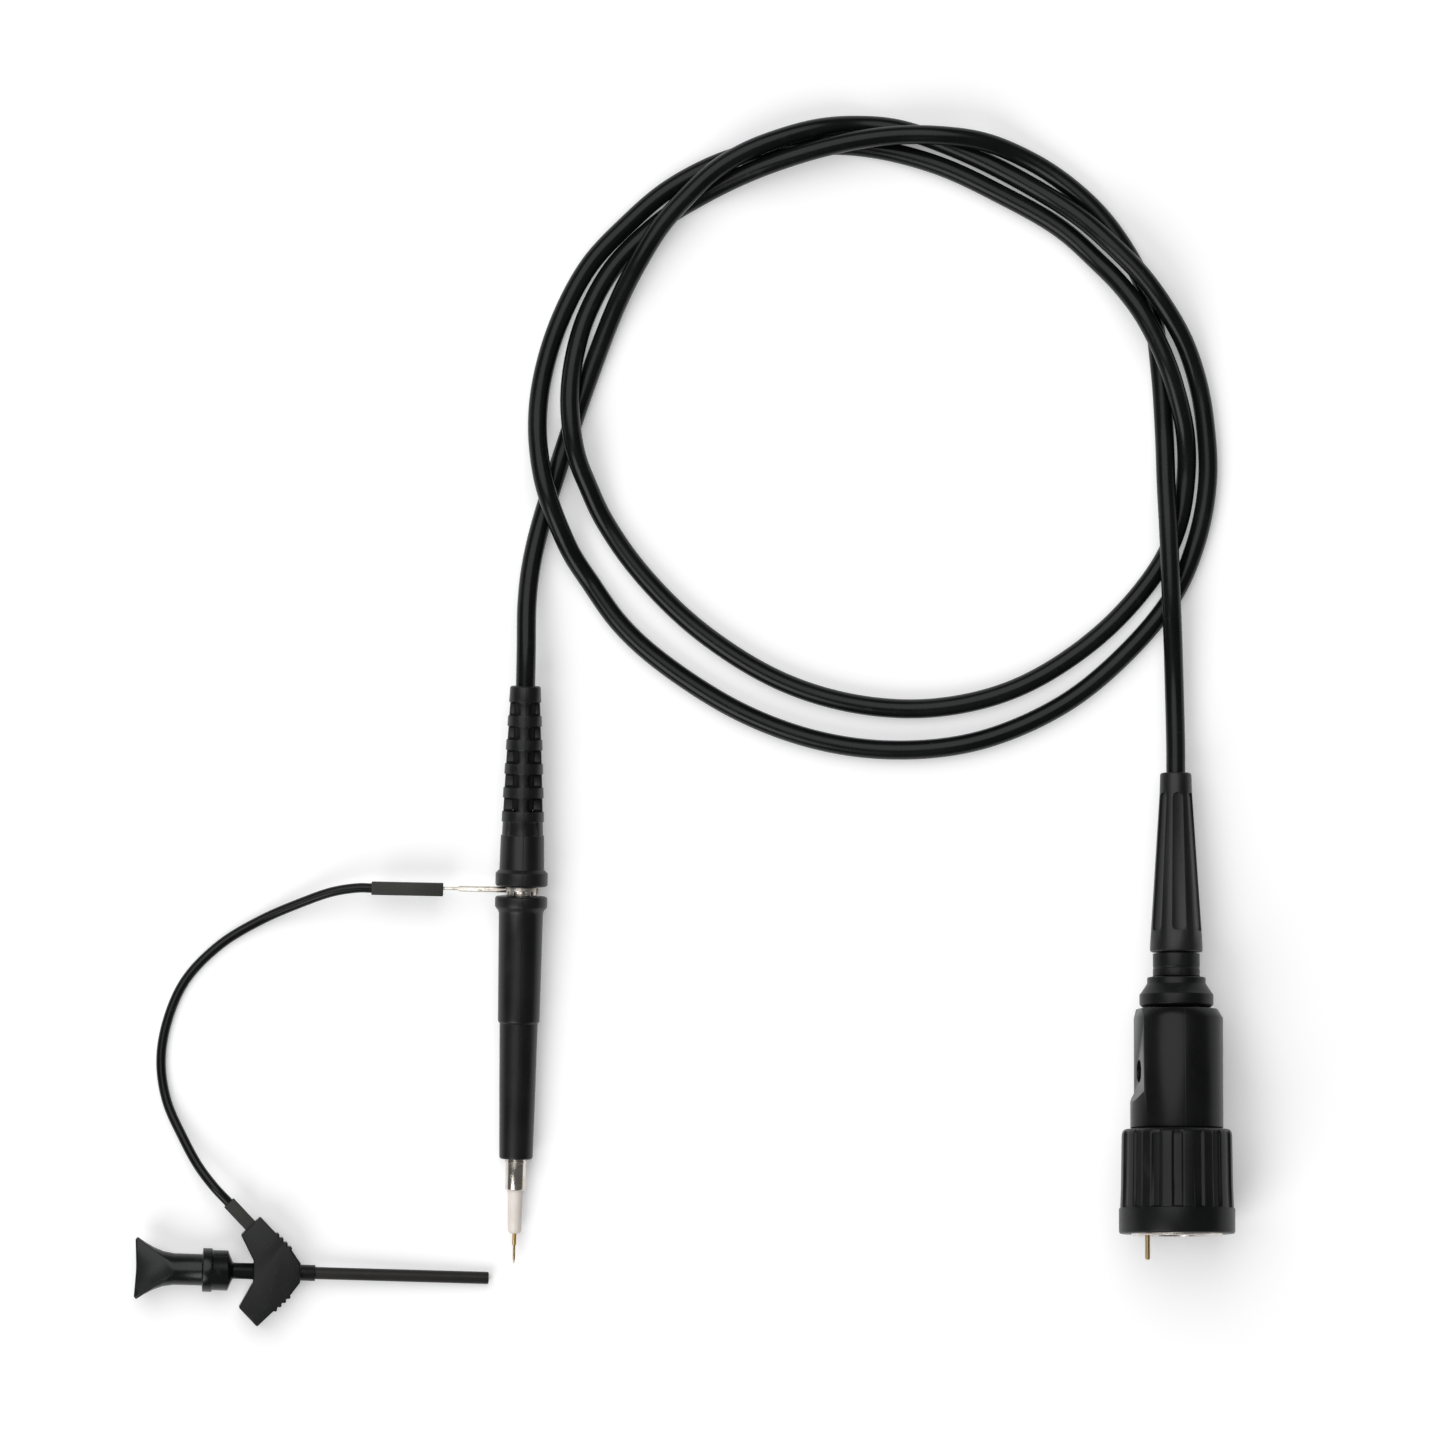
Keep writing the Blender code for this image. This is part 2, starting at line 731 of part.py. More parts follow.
def make_probe_barrel():
    top = -GROOVE_HALF
    step = top - BARREL_STEP_AT
    end = -BARREL_FRONT
    bore = SLEEVE_R + SEAT_GAP
    nose_bore = SLEEVE_NOSE_R + SEAT_GAP
    sleeve_step = -SLEEVE_STEP_AT
    profile = [(COLLAR_R - COLLAR_EDGE, top), (COLLAR_R, top - COLLAR_EDGE),
               (COLLAR_R, top - COLLAR_LEN + COLLAR_CHAMFER),
               (BARREL_TOP_R, top - COLLAR_LEN - COLLAR_CHAMFER),
               (BARREL_STEP_R, step),
               (BARREL_STEP_R - BARREL_STEP_DROP, step - BARREL_STEP_LEN),
               (BARREL_END_R, end + BARREL_END_ROUND),
               (BARREL_END_R - BARREL_END_ROUND, end),
               (nose_bore, end), (nose_bore, sleeve_step - SLEEVE_STEP_LEN),
               (bore, sleeve_step), (bore, top)]
    turned("probe_barrel", profile, "soft_black", HEAD)


def make_head_metal():
    nose = -(BARREL_FRONT + SLEEVE_NOSE_OUT)
    step = -SLEEVE_STEP_AT
    low_step = step - SLEEVE_STEP_LEN
    bore = SLEEVE_R - SLEEVE_WALL
    nose_bore = SLEEVE_NOSE_R - SLEEVE_WALL
    profile = [(SLEEVE_R, SLEEVE_TAIL_LEN), (SLEEVE_R, step), (SLEEVE_NOSE_R, low_step),
               (SLEEVE_NOSE_R, nose + SLEEVE_NOSE_ROUND),
               (SLEEVE_NOSE_R - SLEEVE_NOSE_ROUND, nose),
               (nose_bore, nose), (nose_bore, low_step),
               (bore, step), (bore, SLEEVE_TAIL_LEN)]
    turned("ground_sleeve", profile, "nickel", HEAD)
    foot = SLEEVE_TAIL_LEN + SEAT_GAP
    turned("crimp_ferrule",
           sleeve_profile(SLEEVE_R, CABLE_DIA / 2.0 + SEAT_GAP, foot + FERRULE_LEN, foot),
           "steel", HEAD, SMALL_STEPS)


def make_tip():
    mouth = -(BARREL_FRONT + SLEEVE_NOSE_OUT)
    shoulder = mouth - SEAT_GAP
    front = shoulder - INSULATOR_OUT
    stem = SLEEVE_NOSE_R - SLEEVE_WALL - SEAT_GAP
    bore = TIP_TUBE_R + FINE_GAP
    turned("tip_insulator",
           [(stem, -INSULATOR_TAIL_AT), (stem, shoulder), (INSULATOR_ROOT_R, shoulder),
            (INSULATOR_END_R, front + INSULATOR_END_ROUND),
            (INSULATOR_END_R - INSULATOR_END_EASE, front + INSULATOR_END_EASE),
            (INSULATOR_END_R - INSULATOR_END_ROUND, front), (bore, front),
            (bore, -INSULATOR_TAIL_AT)],
           "white_plastic", HEAD, SLIM_STEPS)
    tube_front = front - TIP_TUBE_OUT
    tube_rear = tube_front + TIP_TUBE_LEN
    pocket = tube_rear - TIP_TUBE_PLUG
    turned("tip_tube",
           [(0.0, tube_rear), (TIP_TUBE_R, tube_rear), (TIP_TUBE_R, tube_front),
            (TIP_TUBE_BORE_R, tube_front), (TIP_TUBE_BORE_R, pocket), (0.0, pocket)],
           "gold", HEAD, SMALL_STEPS)
    point = tube_front - NEEDLE_OUT
    tail = tube_front + NEEDLE_TAIL
    turned("tip_needle",
           [(0.0, tail), (NEEDLE_R, tail), (NEEDLE_R, point + NEEDLE_POINT), (0.0, point)],
           "gold", HEAD, SMALL_STEPS)
    wire("tip_spring",
         coil_points(TIP_TUBE_BORE_R - TIP_SPRING_WIRE, tail + FINE_GAP,
                     pocket - FINE_GAP, TIP_SPRING_TURNS, SPRING_SIDES),
         TIP_SPRING_WIRE / 2.0, "steel", HEAD, 0)
    turned("input_lead",
           rod_profile(LEAD_IN_R, LEAD_IN_PROUD - INSULATOR_TAIL_AT, tube_rear + SEAT_GAP),
           "steel", HEAD, TINY_STEPS)


def make_divider():
    middle = DIVIDER_FROM - DIVIDER_LEN / 2.0
    box("divider_board", (DIVIDER_WIDTH, DIVIDER_THICK, DIVIDER_LEN), (0.0, 0.0, middle),
        "ceramic", HEAD)
    stand = DIVIDER_THICK / 2.0 + SEAT_GAP + DIVIDER_RESISTOR_R
    drum("divider_resistor", DIVIDER_RESISTOR_R, DIVIDER_RESISTOR_LEN,
         shifted(0.0, -stand, middle - DIVIDER_RESISTOR_BACK), "part_tan", HEAD, TINY_STEPS)
    height = DIVIDER_CAPACITOR[1]
    box("divider_capacitor", DIVIDER_CAPACITOR,
        (0.0, DIVIDER_THICK / 2.0 + SEAT_GAP + height / 2.0, middle + DIVIDER_CAPACITOR_FORE),
        "part_tan", HEAD)


# Ground clip and lead

def make_ground_clip():
    inner = SLEEVE_R + CLIP_RING_GAP
    outer = inner + CLIP_SHEET
    clip = turned("ground_clip",
                  sleeve_profile(outer, inner, CLIP_HALF_HEIGHT, -CLIP_HALF_HEIGHT),
                  "tin", HEAD, RING_STEPS)

    def teeth(shape):
        # notches along the cable side of the sheet, clear of the arm and the mouth
        for notch in range(CLIP_NOTCHES):
            angle = CLIP_NOTCH_FROM + CLIP_NOTCH_STEP * notch
            turn = Matrix.Rotation(math.radians(angle), 4, "Z")
            add_box(shape, (4.0 * CLIP_SHEET, CLIP_NOTCH, CLIP_HALF_HEIGHT),
                    (inner + CLIP_SHEET / 2.0, 0.0, CLIP_HALF_HEIGHT), turn)

    cut(clip, mesh_object("ground_clip_teeth", teeth, None, HEAD))
    cut(clip, box("ground_clip_mouth", (CLIP_MOUTH, 2.0 * outer, 4.0 * CLIP_HALF_HEIGHT),
                  (0.0, outer + inner * 0.5, 0.0), None, HEAD))
    start = inner + CLIP_SHEET / 2.0
    insert = CLIP_SOCKET_AT + CLIP_PIN_INSERT
    arm = turned("ground_clip_arm",
                 [(0.0, -start), (CLIP_ARM_R, -start), (CLIP_ARM_R, -CLIP_ARM_END),
                  (CLIP_PIN_R, -CLIP_ARM_END - CLIP_ARM_TAPER),
                  (CLIP_PIN_R, -insert + CLIP_PIN_POINT),
                  (0.0, -insert)],
                 None, HEAD, SMALL_STEPS, along_x())
    unite(clip, arm)


def make_socket(name, frame):
    # a moulded housing with its latch window, and the crimped contact inside it
    half = SOCKET_LEN / 2.0
    housing = box(name, (SOCKET_LEN, SOCKET_SIDE, SOCKET_SIDE), (-half, 0.0, 0.0),
                  "socket_grey", frame, bevel=SOCKET_BEVEL)
    cavity = turned(name + "_cavity",
                    [(0.0, OVERCUT), (SOCKET_MOUTH_R, OVERCUT),
                     (SOCKET_MOUTH_R, -SOCKET_MOUTH_LEN), (SOCKET_BORE_R, -SOCKET_MOUTH_LEN),
                     (SOCKET_BORE_R, -SOCKET_LEN + SOCKET_TAIL_LEN),
                     (SOCKET_TAIL_R, -SOCKET_LEN + SOCKET_TAIL_LEN),
                     (SOCKET_TAIL_R, -SOCKET_LEN - OVERCUT), (0.0, -SOCKET_LEN - OVERCUT)],
                    None, frame, SLIM_STEPS, along_x())
    cut(housing, cavity)
    long, wide = SOCKET_WINDOW

    def windows(shape):
        # the latch window and the short slot behind it, in one side of the housing
        for length, away in ((long, SOCKET_WINDOW_AT), (SOCKET_SLOT_LEN, SOCKET_SLOT_AT)):
            add_box(shape, (length, wide, SOCKET_SIDE / 2.0),
                    (-away, 0.0, -SOCKET_SIDE / 2.0))

    cut(housing, mesh_object(name + "_windows", windows, None, frame))
    front = -SOCKET_MOUTH_LEN - SEAT_GAP
    rear = -SOCKET_LEN + SOCKET_TAIL_LEN + SEAT_GAP
    turned(name + "_contact", sleeve_profile(CONTACT_R, CONTACT_BORE_R, front, rear),
           "brass", frame, SLIM_STEPS, along_x())


def make_lead_wire():
    radius = LEAD_DIA / 2.0
    away = SOCKET_LEN + SEAT_GAP
    route = [world_point(CLIP_SOCKET, (-away, 0.0, 0.0)),
             world_point(CLIP_SOCKET, (-away - LEAD_START_STRAIGHT, 0.0, 0.0)),
             (-68.6, 22.3, 4.7), (-75.2, 20.0, 3.2), (-83.0, 16.6, 1.6), (-90.9, 11.8, 0.95),
             (-97.6, 4.9, 0.95), (-101.1, -2.9, 0.95), (-102.4, -10.8, 0.95),
             (-101.3, -18.6, 1.2), (-98.0, -26.0, 2.2), (-95.0, -31.4, 3.1),
             world_point(GRABBER_SOCKET, (-away - LEAD_END_STRAIGHT, 0.0, 0.0)),
             world_point(GRABBER_SOCKET, (-away, 0.0, 0.0))]
    wire("ground_lead_wire", smooth_route(route, LEAD_SAMPLES, radius), radius,
         "cable_black", None)


# Grabber

def grabber_outline():
    # the upper half from the nose round the wing to the rear, then its mirror image
    out = Vector((math.sin(WING_TURN), math.cos(WING_TURN)))
    down = Vector((math.cos(WING_TURN), -math.sin(WING_TURN)))
    mouth = Vector(WING_MOUTH[:2])
    outer = mouth + out * (WING_WIDTH / 2.0)
    inner = mouth - out * (WING_WIDTH / 2.0)
    half = [(BODY_NOSE_X, BODY_NOSE_HALF)]
    for bump in reversed(range(GRIP_BUMPS)):
        middle = outer + down * (GRIP_FROM + bump * GRIP_PITCH)
        for point in arc_points(middle, GRIP_BUMP_R, -45.0, 135.0, 3):
            half.append(point)
    half += [tuple(outer), tuple(inner), (0.0, BODY_REAR_HALF)]
    return half + [(x, -y) for x, y in reversed(half)]


def make_grabber_body():
    body = plate("grabber_body", grabber_outline(), BODY_THICK, "grabber_black", GRABBER)
    round_edges(body, BODY_BEVEL, 1, 60.0)
    boss_end = BODY_NOSE_X + BOSS_LEN
    unite(body, turned("grabber_boss", rod_profile(BOSS_R, boss_end, BODY_NOSE_X - OVERCUT),
                       None, GRABBER, BORE_STEPS, along_x()))
    stub_bore = TUBE_STUB_R + SEAT_GAP
    rod_bore = PLUNGER_R + SEAT_GAP
    cut(body, turned("grabber_bore",
                     [(0.0, boss_end + OVERCUT), (stub_bore, boss_end + OVERCUT),
                      (stub_bore, SPRING_ROOM_END), (rod_bore, SPRING_ROOM_END),
                      (rod_bore, -OVERCUT), (0.0, -OVERCUT)],
                     None, GRABBER, BORE_STEPS, along_x()))
    slot = SOCKET_SIDE + 2.0 * SEAT_GAP
    depth = GRABBER_SOCKET_DEPTH + SEAT_GAP

    def pockets(shape):
        for side in (1.0, -1.0):
            flip = Matrix.Diagonal((1.0, side, 1.0, 1.0))
            verts = add_box(shape, (depth + OVERCUT, slot, slot),
                            ((depth - OVERCUT) / 2.0, 0.0, 0.0))
            place = flip @ shifted(*WING_MOUTH) @ Matrix.Rotation(-WING_TURN, 4, "Z")
            bmesh.ops.transform(shape, matrix=place, verts=verts)
            if side < 0.0:
                faces = {face for vert in verts for face in vert.link_faces}
                bmesh.ops.reverse_faces(shape, faces=list(faces))

    cut(body, mesh_object("grabber_pockets", pockets, None, GRABBER))


def make_grabber_metal():
    boss_end = BODY_NOSE_X + BOSS_LEN
    seat = boss_end + SEAT_GAP
    turned("grabber_tube",
           [(GRABBER_TUBE_R - TUBE_EDGE, GRABBER_TUBE_END),
            (GRABBER_TUBE_R, GRABBER_TUBE_END - 2.0 * TUBE_EDGE),
            (GRABBER_TUBE_R, seat), (TUBE_STUB_R, seat),
            (TUBE_STUB_R, seat - TUBE_STUB_LEN), (GRABBER_TUBE_BORE_R, seat - TUBE_STUB_LEN),
            (GRABBER_TUBE_BORE_R, GRABBER_TUBE_END)],
           "grabber_black", GRABBER, BORE_STEPS, along_x())
    # the pin starts in the wing's socket contact, and its foot is in the pocket's floor
    reach = GRABBER_SOCKET_DEPTH - GRABBER_PIN_LEN / 2.0 + FINE_GAP
    box("grabber_pin", (GRABBER_PIN_LEN, GRABBER_PIN_SIDE, GRABBER_PIN_SIDE),
        (reach, 0.0, 0.0), "brass", WING)
    spring = wire("grabber_spring",
                  coil_points(GRABBER_SPRING_R, PLUNGER_FRONT + GRABBER_SPRING_EASE,
                              SPRING_ROOM_END - GRABBER_SPRING_EASE,
                              GRABBER_SPRING_TURNS, TINY_STEPS),
                  GRABBER_SPRING_WIRE / 2.0, "steel", GRABBER, 0)
    spring.matrix_local = along_x()


def make_plunger():
    rim_rear = KNOB_RIM_X - KNOB_RIM_LEN
    profile = [(0.0, PLUNGER_FRONT), (PLUNGER_R, PLUNGER_FRONT), (PLUNGER_R, KNOB_FACE_X),
               (KNOB_COLLAR_R, KNOB_FACE_X - KNOB_CHAMFER_LEN),
               (KNOB_COLLAR_R, KNOB_RIM_X + KNOB_STEP), (KNOB_RIM_R, KNOB_RIM_X),
               (KNOB_RIM_R, rim_rear), (KNOB_NECK_R, rim_rear - KNOB_STEP),
               (KNOB_NECK_R, KNOB_FLARE_X)]
    flare = KNOB_FLARE_X - KNOB_END_X
    for share in KNOB_FLARE_SHARES:
        radius = KNOB_NECK_R + (KNOB_END_R - KNOB_NECK_R) * share ** KNOB_FLARE_POWER
        profile.append((radius, KNOB_FLARE_X - (flare - KNOB_LIP) * share))
    profile += [(KNOB_END_R - KNOB_LIP, KNOB_END_X), (0.0, KNOB_END_X + KNOB_DISH)]
    knob = turned("grabber_knob", profile, "grabber_black", GRABBER, ROUND_STEPS, along_x())
    slope = math.atan2(KNOB_NECK_R - KNOB_END_THICK / 2.0, flare)
    size = 3.0 * flare

    def facets(shape):
        for side in (1.0, -1.0):
            turn = Matrix.Rotation(-slope * side, 4, "Y")
            place = shifted(KNOB_FLARE_X, 0.0, side * KNOB_NECK_R) @ turn
            add_box(shape, (size, size, size), (0.0, 0.0, side * size / 2.0), place)

    # the two flats meet the neck at its crown and leave the round neck as it is
    block = mesh_object("knob_facets", facets, None, GRABBER)
    keep = box("knob_facets_limit", (size, size, size),
               (KNOB_FLARE_X + size / 2.0 + TOUCH / MM, 0.0, 0.0), None, GRABBER)
    cut(block, keep)
    cut(knob, block)
    start = PLUNGER_FRONT + SEAT_GAP
    end = GRABBER_TUBE_END - HOOK_END_BACK
    hook = turned("hook_wire", rod_profile(HOOK_WIRE_R, end, start), "steel", GRABBER,
                  TINY_STEPS, along_x())
    cut(hook, box("hook_notch", (HOOK_NOTCH_LEN, HOOK_WIRE_R, 4.0 * HOOK_WIRE_R),
                  (end - HOOK_NOTCH_LEN, HOOK_WIRE_R * HOOK_NOTCH_OUT, 0.0), None, GRABBER))


# Bayonet plug

def make_lock_ring():
    taper = (LOCK_R - LOCK_REAR_R) / LOCK_LEN
    ring = turned("lock_ring",
                  [(LOCK_R - LOCK_EDGE, 0.0), (LOCK_R, -LOCK_EDGE),
                   (LOCK_R, -LOCK_BAND_LEN), (LOCK_REAR_R, -LOCK_REST),
                   (LOCK_REAR_R - 0.3 * LOCK_EDGE, -LOCK_LEN + LOCK_EDGE * 0.6),
                   (LOCK_REAR_R - LOCK_EDGE, -LOCK_LEN),
                   (LOCK_BORE_R, -LOCK_LEN), (LOCK_BORE_R, 0.0)],
                  "hard_black", PLUG, FINE_STEPS)

    def grooves(shape):
        length = LOCK_REST - LOCK_BAND_LEN
        middle = -LOCK_BAND_LEN - length / 2.0
        radius = LOCK_R + taper * (middle + LOCK_BAND_LEN)
        orbit = radius - LOCK_GROOVE_DEPTH + LOCK_GROOVE_R
        for groove in range(LOCK_GROOVES):
            angle = 90.0 + LOCK_GROOVE_PHASE + 360.0 * groove / LOCK_GROOVES
            turn = Matrix.Rotation(math.radians(angle), 4, "Z")
            tilt = Matrix.Rotation(math.atan(taper), 4, "Y")
            add_drum(shape, LOCK_GROOVE_R, length,
                     turn @ shifted(orbit, 0.0, middle) @ tilt, GROOVE_STEPS)

    cut(ring, mesh_object("lock_ring_grooves", grooves, None, PLUG))


def arc_slot(orbit, half, start, end):
    outer = arc_points((0.0, 0.0), orbit + half, start, end, SMALL_STEPS)
    inner = arc_points((0.0, 0.0), orbit - half, end, start, SMALL_STEPS)
    return outer + inner


def make_bayonet_ring():
    disc_rear = RING_PROUD - RING_DISC_THICK
    ledge = -FLANGE_AT + SEAT_GAP
    disc_r = LOCK_BORE_R - SEAT_GAP
    ring = turned("bayonet_ring",
                  [(disc_r - RING_EDGE, RING_PROUD), (disc_r, RING_PROUD - RING_EDGE),
                   (disc_r, disc_rear), (RING_TUBE_R, disc_rear),
                   (RING_TUBE_R, -RING_TUBE_END), (RING_REAR_BORE_R, -RING_TUBE_END),
                   (RING_REAR_BORE_R, ledge), (RING_BORE_R, ledge),
                   (RING_BORE_R, RING_PROUD)],
                  "nickel", PLUG, RING_STEPS)
    spare = math.degrees((READOUT_PIN_R + SEAT_GAP) / READOUT_ORBIT_R)
    outline = arc_slot(READOUT_ORBIT_R, READOUT_SLOT_HALF,
                       READOUT_ANGLE - RING_TURN - spare, READOUT_ANGLE + spare)
    cut(ring, plate("readout_slot", outline, 2.0 * RING_DISC_THICK, None, PLUG,
                    shifted(0.0, 0.0, (RING_PROUD + disc_rear) / 2.0)))
    for side in (0.0, 180.0):
        points = []
        orbit = RING_BORE_R + BAYONET_SLOT_DEPTH - BAYONET_SLOT_R
        for height in (RING_PROUD + OVERCUT, -BAYONET_ENTRY / 2.0):
            points.append((orbit, 0.0, height))
        for step in range(BAYONET_STEPS + 1):
            share = step / BAYONET_STEPS
            angle = math.radians(BAYONET_TURN * share)
            height = -BAYONET_ENTRY - BAYONET_RAMP * share
            points.append((orbit * math.cos(angle), orbit * math.sin(angle), height))
        groove = wire(f"bayonet_groove_{side:.0f}", points, BAYONET_SLOT_R, None, PLUG, 1)
        groove.matrix_local = Matrix.Rotation(math.radians(side + BAYONET_PHASE), 4, "Z")
        cut(ring, curve_to_mesh(groove, None))
    keeper_rear = -RING_TUBE_END
    turned("ring_keeper",
           sleeve_profile(RING_REAR_BORE_R - SEAT_GAP, SHANK_R + SEAT_GAP,
                          keeper_rear + KEEPER_THICK, keeper_rear),
           "steel", PLUG, BORE_STEPS)
    spring_r = (RING_REAR_BORE_R + SHANK_R) / 2.0
    half_wire = RING_SPRING_WIRE / 2.0
    wire("ring_spring",
         coil_points(spring_r, keeper_rear + KEEPER_THICK + SEAT_GAP + half_wire,
                     -FLANGE_AT - FLANGE_THICK - SEAT_GAP - half_wire,
                     RING_SPRING_TURNS, SMALL_STEPS),
         half_wire, "steel", PLUG, 0)


def make_plug_core():
    cone = FLANGE_AT + SHELL_CONE_LEN
    body = turned("plug_body",
                  [(SHELL_R - SHELL_EDGE, -SHELL_FRONT),
                   (SHELL_R, -SHELL_FRONT - 2.0 * SHELL_EDGE),
                   (SHELL_R, -FLANGE_AT), (RING_REAR_BORE_R - SEAT_GAP, -FLANGE_AT),
                   (RING_REAR_BORE_R - SEAT_GAP, -FLANGE_AT - FLANGE_THICK),
                   (SHANK_R, -FLANGE_AT - FLANGE_THICK), (SHANK_R, -SHANK_END),
                   (SHANK_BORE_R, -SHANK_END), (SHANK_BORE_R, -cone - SHELL_CONE_LEN),
                   (SHELL_BORE_R, -cone), (SHELL_BORE_R, -SHELL_FRONT)],
                  "nickel", PLUG, BORE_STEPS)

    def slits(shape):
        length = SHELL_SLIT_LEN + OVERCUT
        height = -SHELL_FRONT + OVERCUT - length / 2.0
        add_box(shape, (4.0 * SHELL_R, SHELL_SLIT, length), (0.0, 0.0, height))

    first = mesh_object("plug_body_slit_a", slits, None, PLUG)
    second = mesh_object("plug_body_slit_b", slits, None, PLUG,
                         Matrix.Rotation(math.radians(90.0), 4, "Z"))
    cut(body, first)
    cut(body, second)
    stem = SHANK_BORE_R - SEAT_GAP
    bore = CENTRE_PIN_R + SEAT_GAP
    turned("plug_insulator",
           [(SHELL_BORE_R - SEAT_GAP, -DIELECTRIC_FRONT),
            (SHELL_BORE_R - SEAT_GAP, -cone + FINE_GAP), (stem, -cone - SHELL_CONE_LEN),
            (stem, -DIELECTRIC_END), (bore, -DIELECTRIC_END), (bore, -DIELECTRIC_FRONT)],
           "white_plastic", PLUG, SLIM_STEPS)
    turned("centre_pin",
           [(0.0, -CENTRE_PIN_FRONT), (CENTRE_PIN_TIP_R, -CENTRE_PIN_FRONT - FINE_GAP),
            (CENTRE_PIN_R, -CENTRE_PIN_FRONT - CENTRE_PIN_TAPER), (CENTRE_PIN_R, -SHANK_END),
            (0.0, -SHANK_END)],
           "gold", PLUG, SMALL_STEPS)
    foot = -FLANGE_AT + SEAT_GAP
    turned("plug_gasket",
           sleeve_profile(RING_BORE_R - FINE_GAP, SHELL_R + FINE_GAP,
                          foot + GASKET_THICK, foot),
           "silicone", PLUG, BORE_STEPS)
    inside = -(BOX_FRONT + BOX_FRONT_WALL) - SEAT_GAP
    nut = drum("plug_nut", PLUG_NUT_ACROSS / math.sqrt(3.0), PLUG_NUT_THICK,
               shifted(0.0, 0.0, inside - PLUG_NUT_THICK / 2.0), "nickel", PLUG, 6)
    cut(nut, drum("plug_nut_bore", SHANK_R + SEAT_GAP, 3.0 * PLUG_NUT_THICK,
                  shifted(0.0, 0.0, inside - PLUG_NUT_THICK / 2.0), None, PLUG, BORE_STEPS))


def readout_place(height=0.0):
    angle = math.radians(READOUT_ANGLE)
    return shifted(READOUT_ORBIT_R * math.cos(angle), READOUT_ORBIT_R * math.sin(angle),
                   height)


def make_readout():
    place = readout_place()
    bore = READOUT_PIN_R + FINE_GAP
    plug = READOUT_BARREL_END - READOUT_BARREL_PLUG
    turned("readout_barrel",
           [(READOUT_BARREL_R, -READOUT_BARREL_FRONT), (READOUT_BARREL_R, -READOUT_BARREL_END),
            (READOUT_WIRE_R, -READOUT_BARREL_END), (READOUT_WIRE_R, -plug), (bore, -plug),
            (bore, -READOUT_BARREL_FRONT)],
           "brass", PLUG, SLIM_STEPS, place)
    turned("readout_pin",
           [(0.0, READOUT_OUT), (READOUT_PIN_R - READOUT_EDGE, READOUT_OUT - FINE_GAP),
            (READOUT_PIN_R, READOUT_OUT - 3.0 * READOUT_EDGE), (READOUT_PIN_R, -READOUT_TAIL),
            (0.0, -READOUT_TAIL)],
           "brass", PLUG, SLIM_STEPS, place)
    spring = wire("readout_spring",
                  coil_points(READOUT_PIN_R - READOUT_SPRING_WIRE, READOUT_SPRING_EASE - plug,
                              -READOUT_TAIL - READOUT_SPRING_EASE, READOUT_SPRING_TURNS,
                              SPRING_SIDES),
                  READOUT_SPRING_WIRE / 2.0, "steel", PLUG, 0)
    spring.matrix_local = place


# Compensation box

def make_box():
    front = -BOX_FRONT
    rear = -BOX_REAR
    housing = turned("box_housing",
                     [(0.0, front + BOX_SPIGOT_LEN), (BOX_SPIGOT_R, front + BOX_SPIGOT_LEN),
                      (BOX_SPIGOT_R, front), (BOX_R - BOX_EDGE, front),
                      (BOX_R, front - BOX_EDGE), (BOX_R, rear + BOX_CHAMFER),
                      (BOX_CHAMFER_R, rear + BOX_EDGE), (BOX_CHAMFER_R - BOX_EDGE, rear),
                      (0.0, rear)],
                     "hard_black", BOX, FINE_STEPS)
    long = BOX_REAR - FLAT_FROM

    def flat(shape):
        # the flat side, which runs out to the round wall in a short ramp
        verts = add_box(shape, (BOX_R, 4.0 * BOX_R, long + OVERCUT),
                        (-FLAT_AT - BOX_R / 2.0, 0.0, -FLAT_FROM - (long + OVERCUT) / 2.0))
        crown = max(vert.co.z for vert in verts)
        outside = min(vert.co.x for vert in verts)
        for vert in verts:
            if vert.co.z > crown - TOUCH and vert.co.x < outside + TOUCH:
                vert.co.z += FLAT_RAMP * MM * BOX_R / (BOX_R - FLAT_AT)

    cut(housing, mesh_object("box_flat", flat, None, BOX))
    inner = BOX_R - BOX_WALL
    inner_front = front - BOX_FRONT_WALL
    cavity = turned("box_cavity",
                    [(0.0, inner_front), (inner, inner_front),
                     (inner, rear + BOX_CHAMFER), (BOX_CHAMFER_R - BOX_WALL, rear + BOX_WALL),
                     (0.0, rear + BOX_WALL)],
                    None, BOX, BORE_STEPS)
    wall = FLAT_AT - BOX_WALL
    cut(cavity, box("box_cavity_flat", (BOX_R, 4.0 * BOX_R, 2.0 * BOX_REAR),
                    (-wall - BOX_R / 2.0, 0.0, rear), None, BOX))
    cut(housing, cavity)
    through = BOX_REAR - BOX_FRONT + 4.0 * OVERCUT

    def holes(shape):
        add_drum(shape, SHANK_R + SEAT_GAP, BOX_FRONT_WALL * 4.0,
                 shifted(0.0, 0.0, front), BORE_STEPS)
        add_drum(shape, GLAND_STUB_R + SEAT_GAP, BOX_WALL * 4.0,
                 shifted(0.0, 0.0, rear), BORE_STEPS)
        sideways = shifted(-FLAT_AT, 0.0, -TRIM_HOLE_AT) @ along_x()
        add_drum(shape, TRIM_HOLE_R, 4.0 * BOX_WALL, sideways, BORE_STEPS)

    cut(housing, mesh_object("box_holes", holes, None, BOX))
    cut(housing, drum("readout_hole", READOUT_BARREL_R + FINE_GAP, through / 3.0,
                      readout_place(front), None, PLUG, SLIM_STEPS))


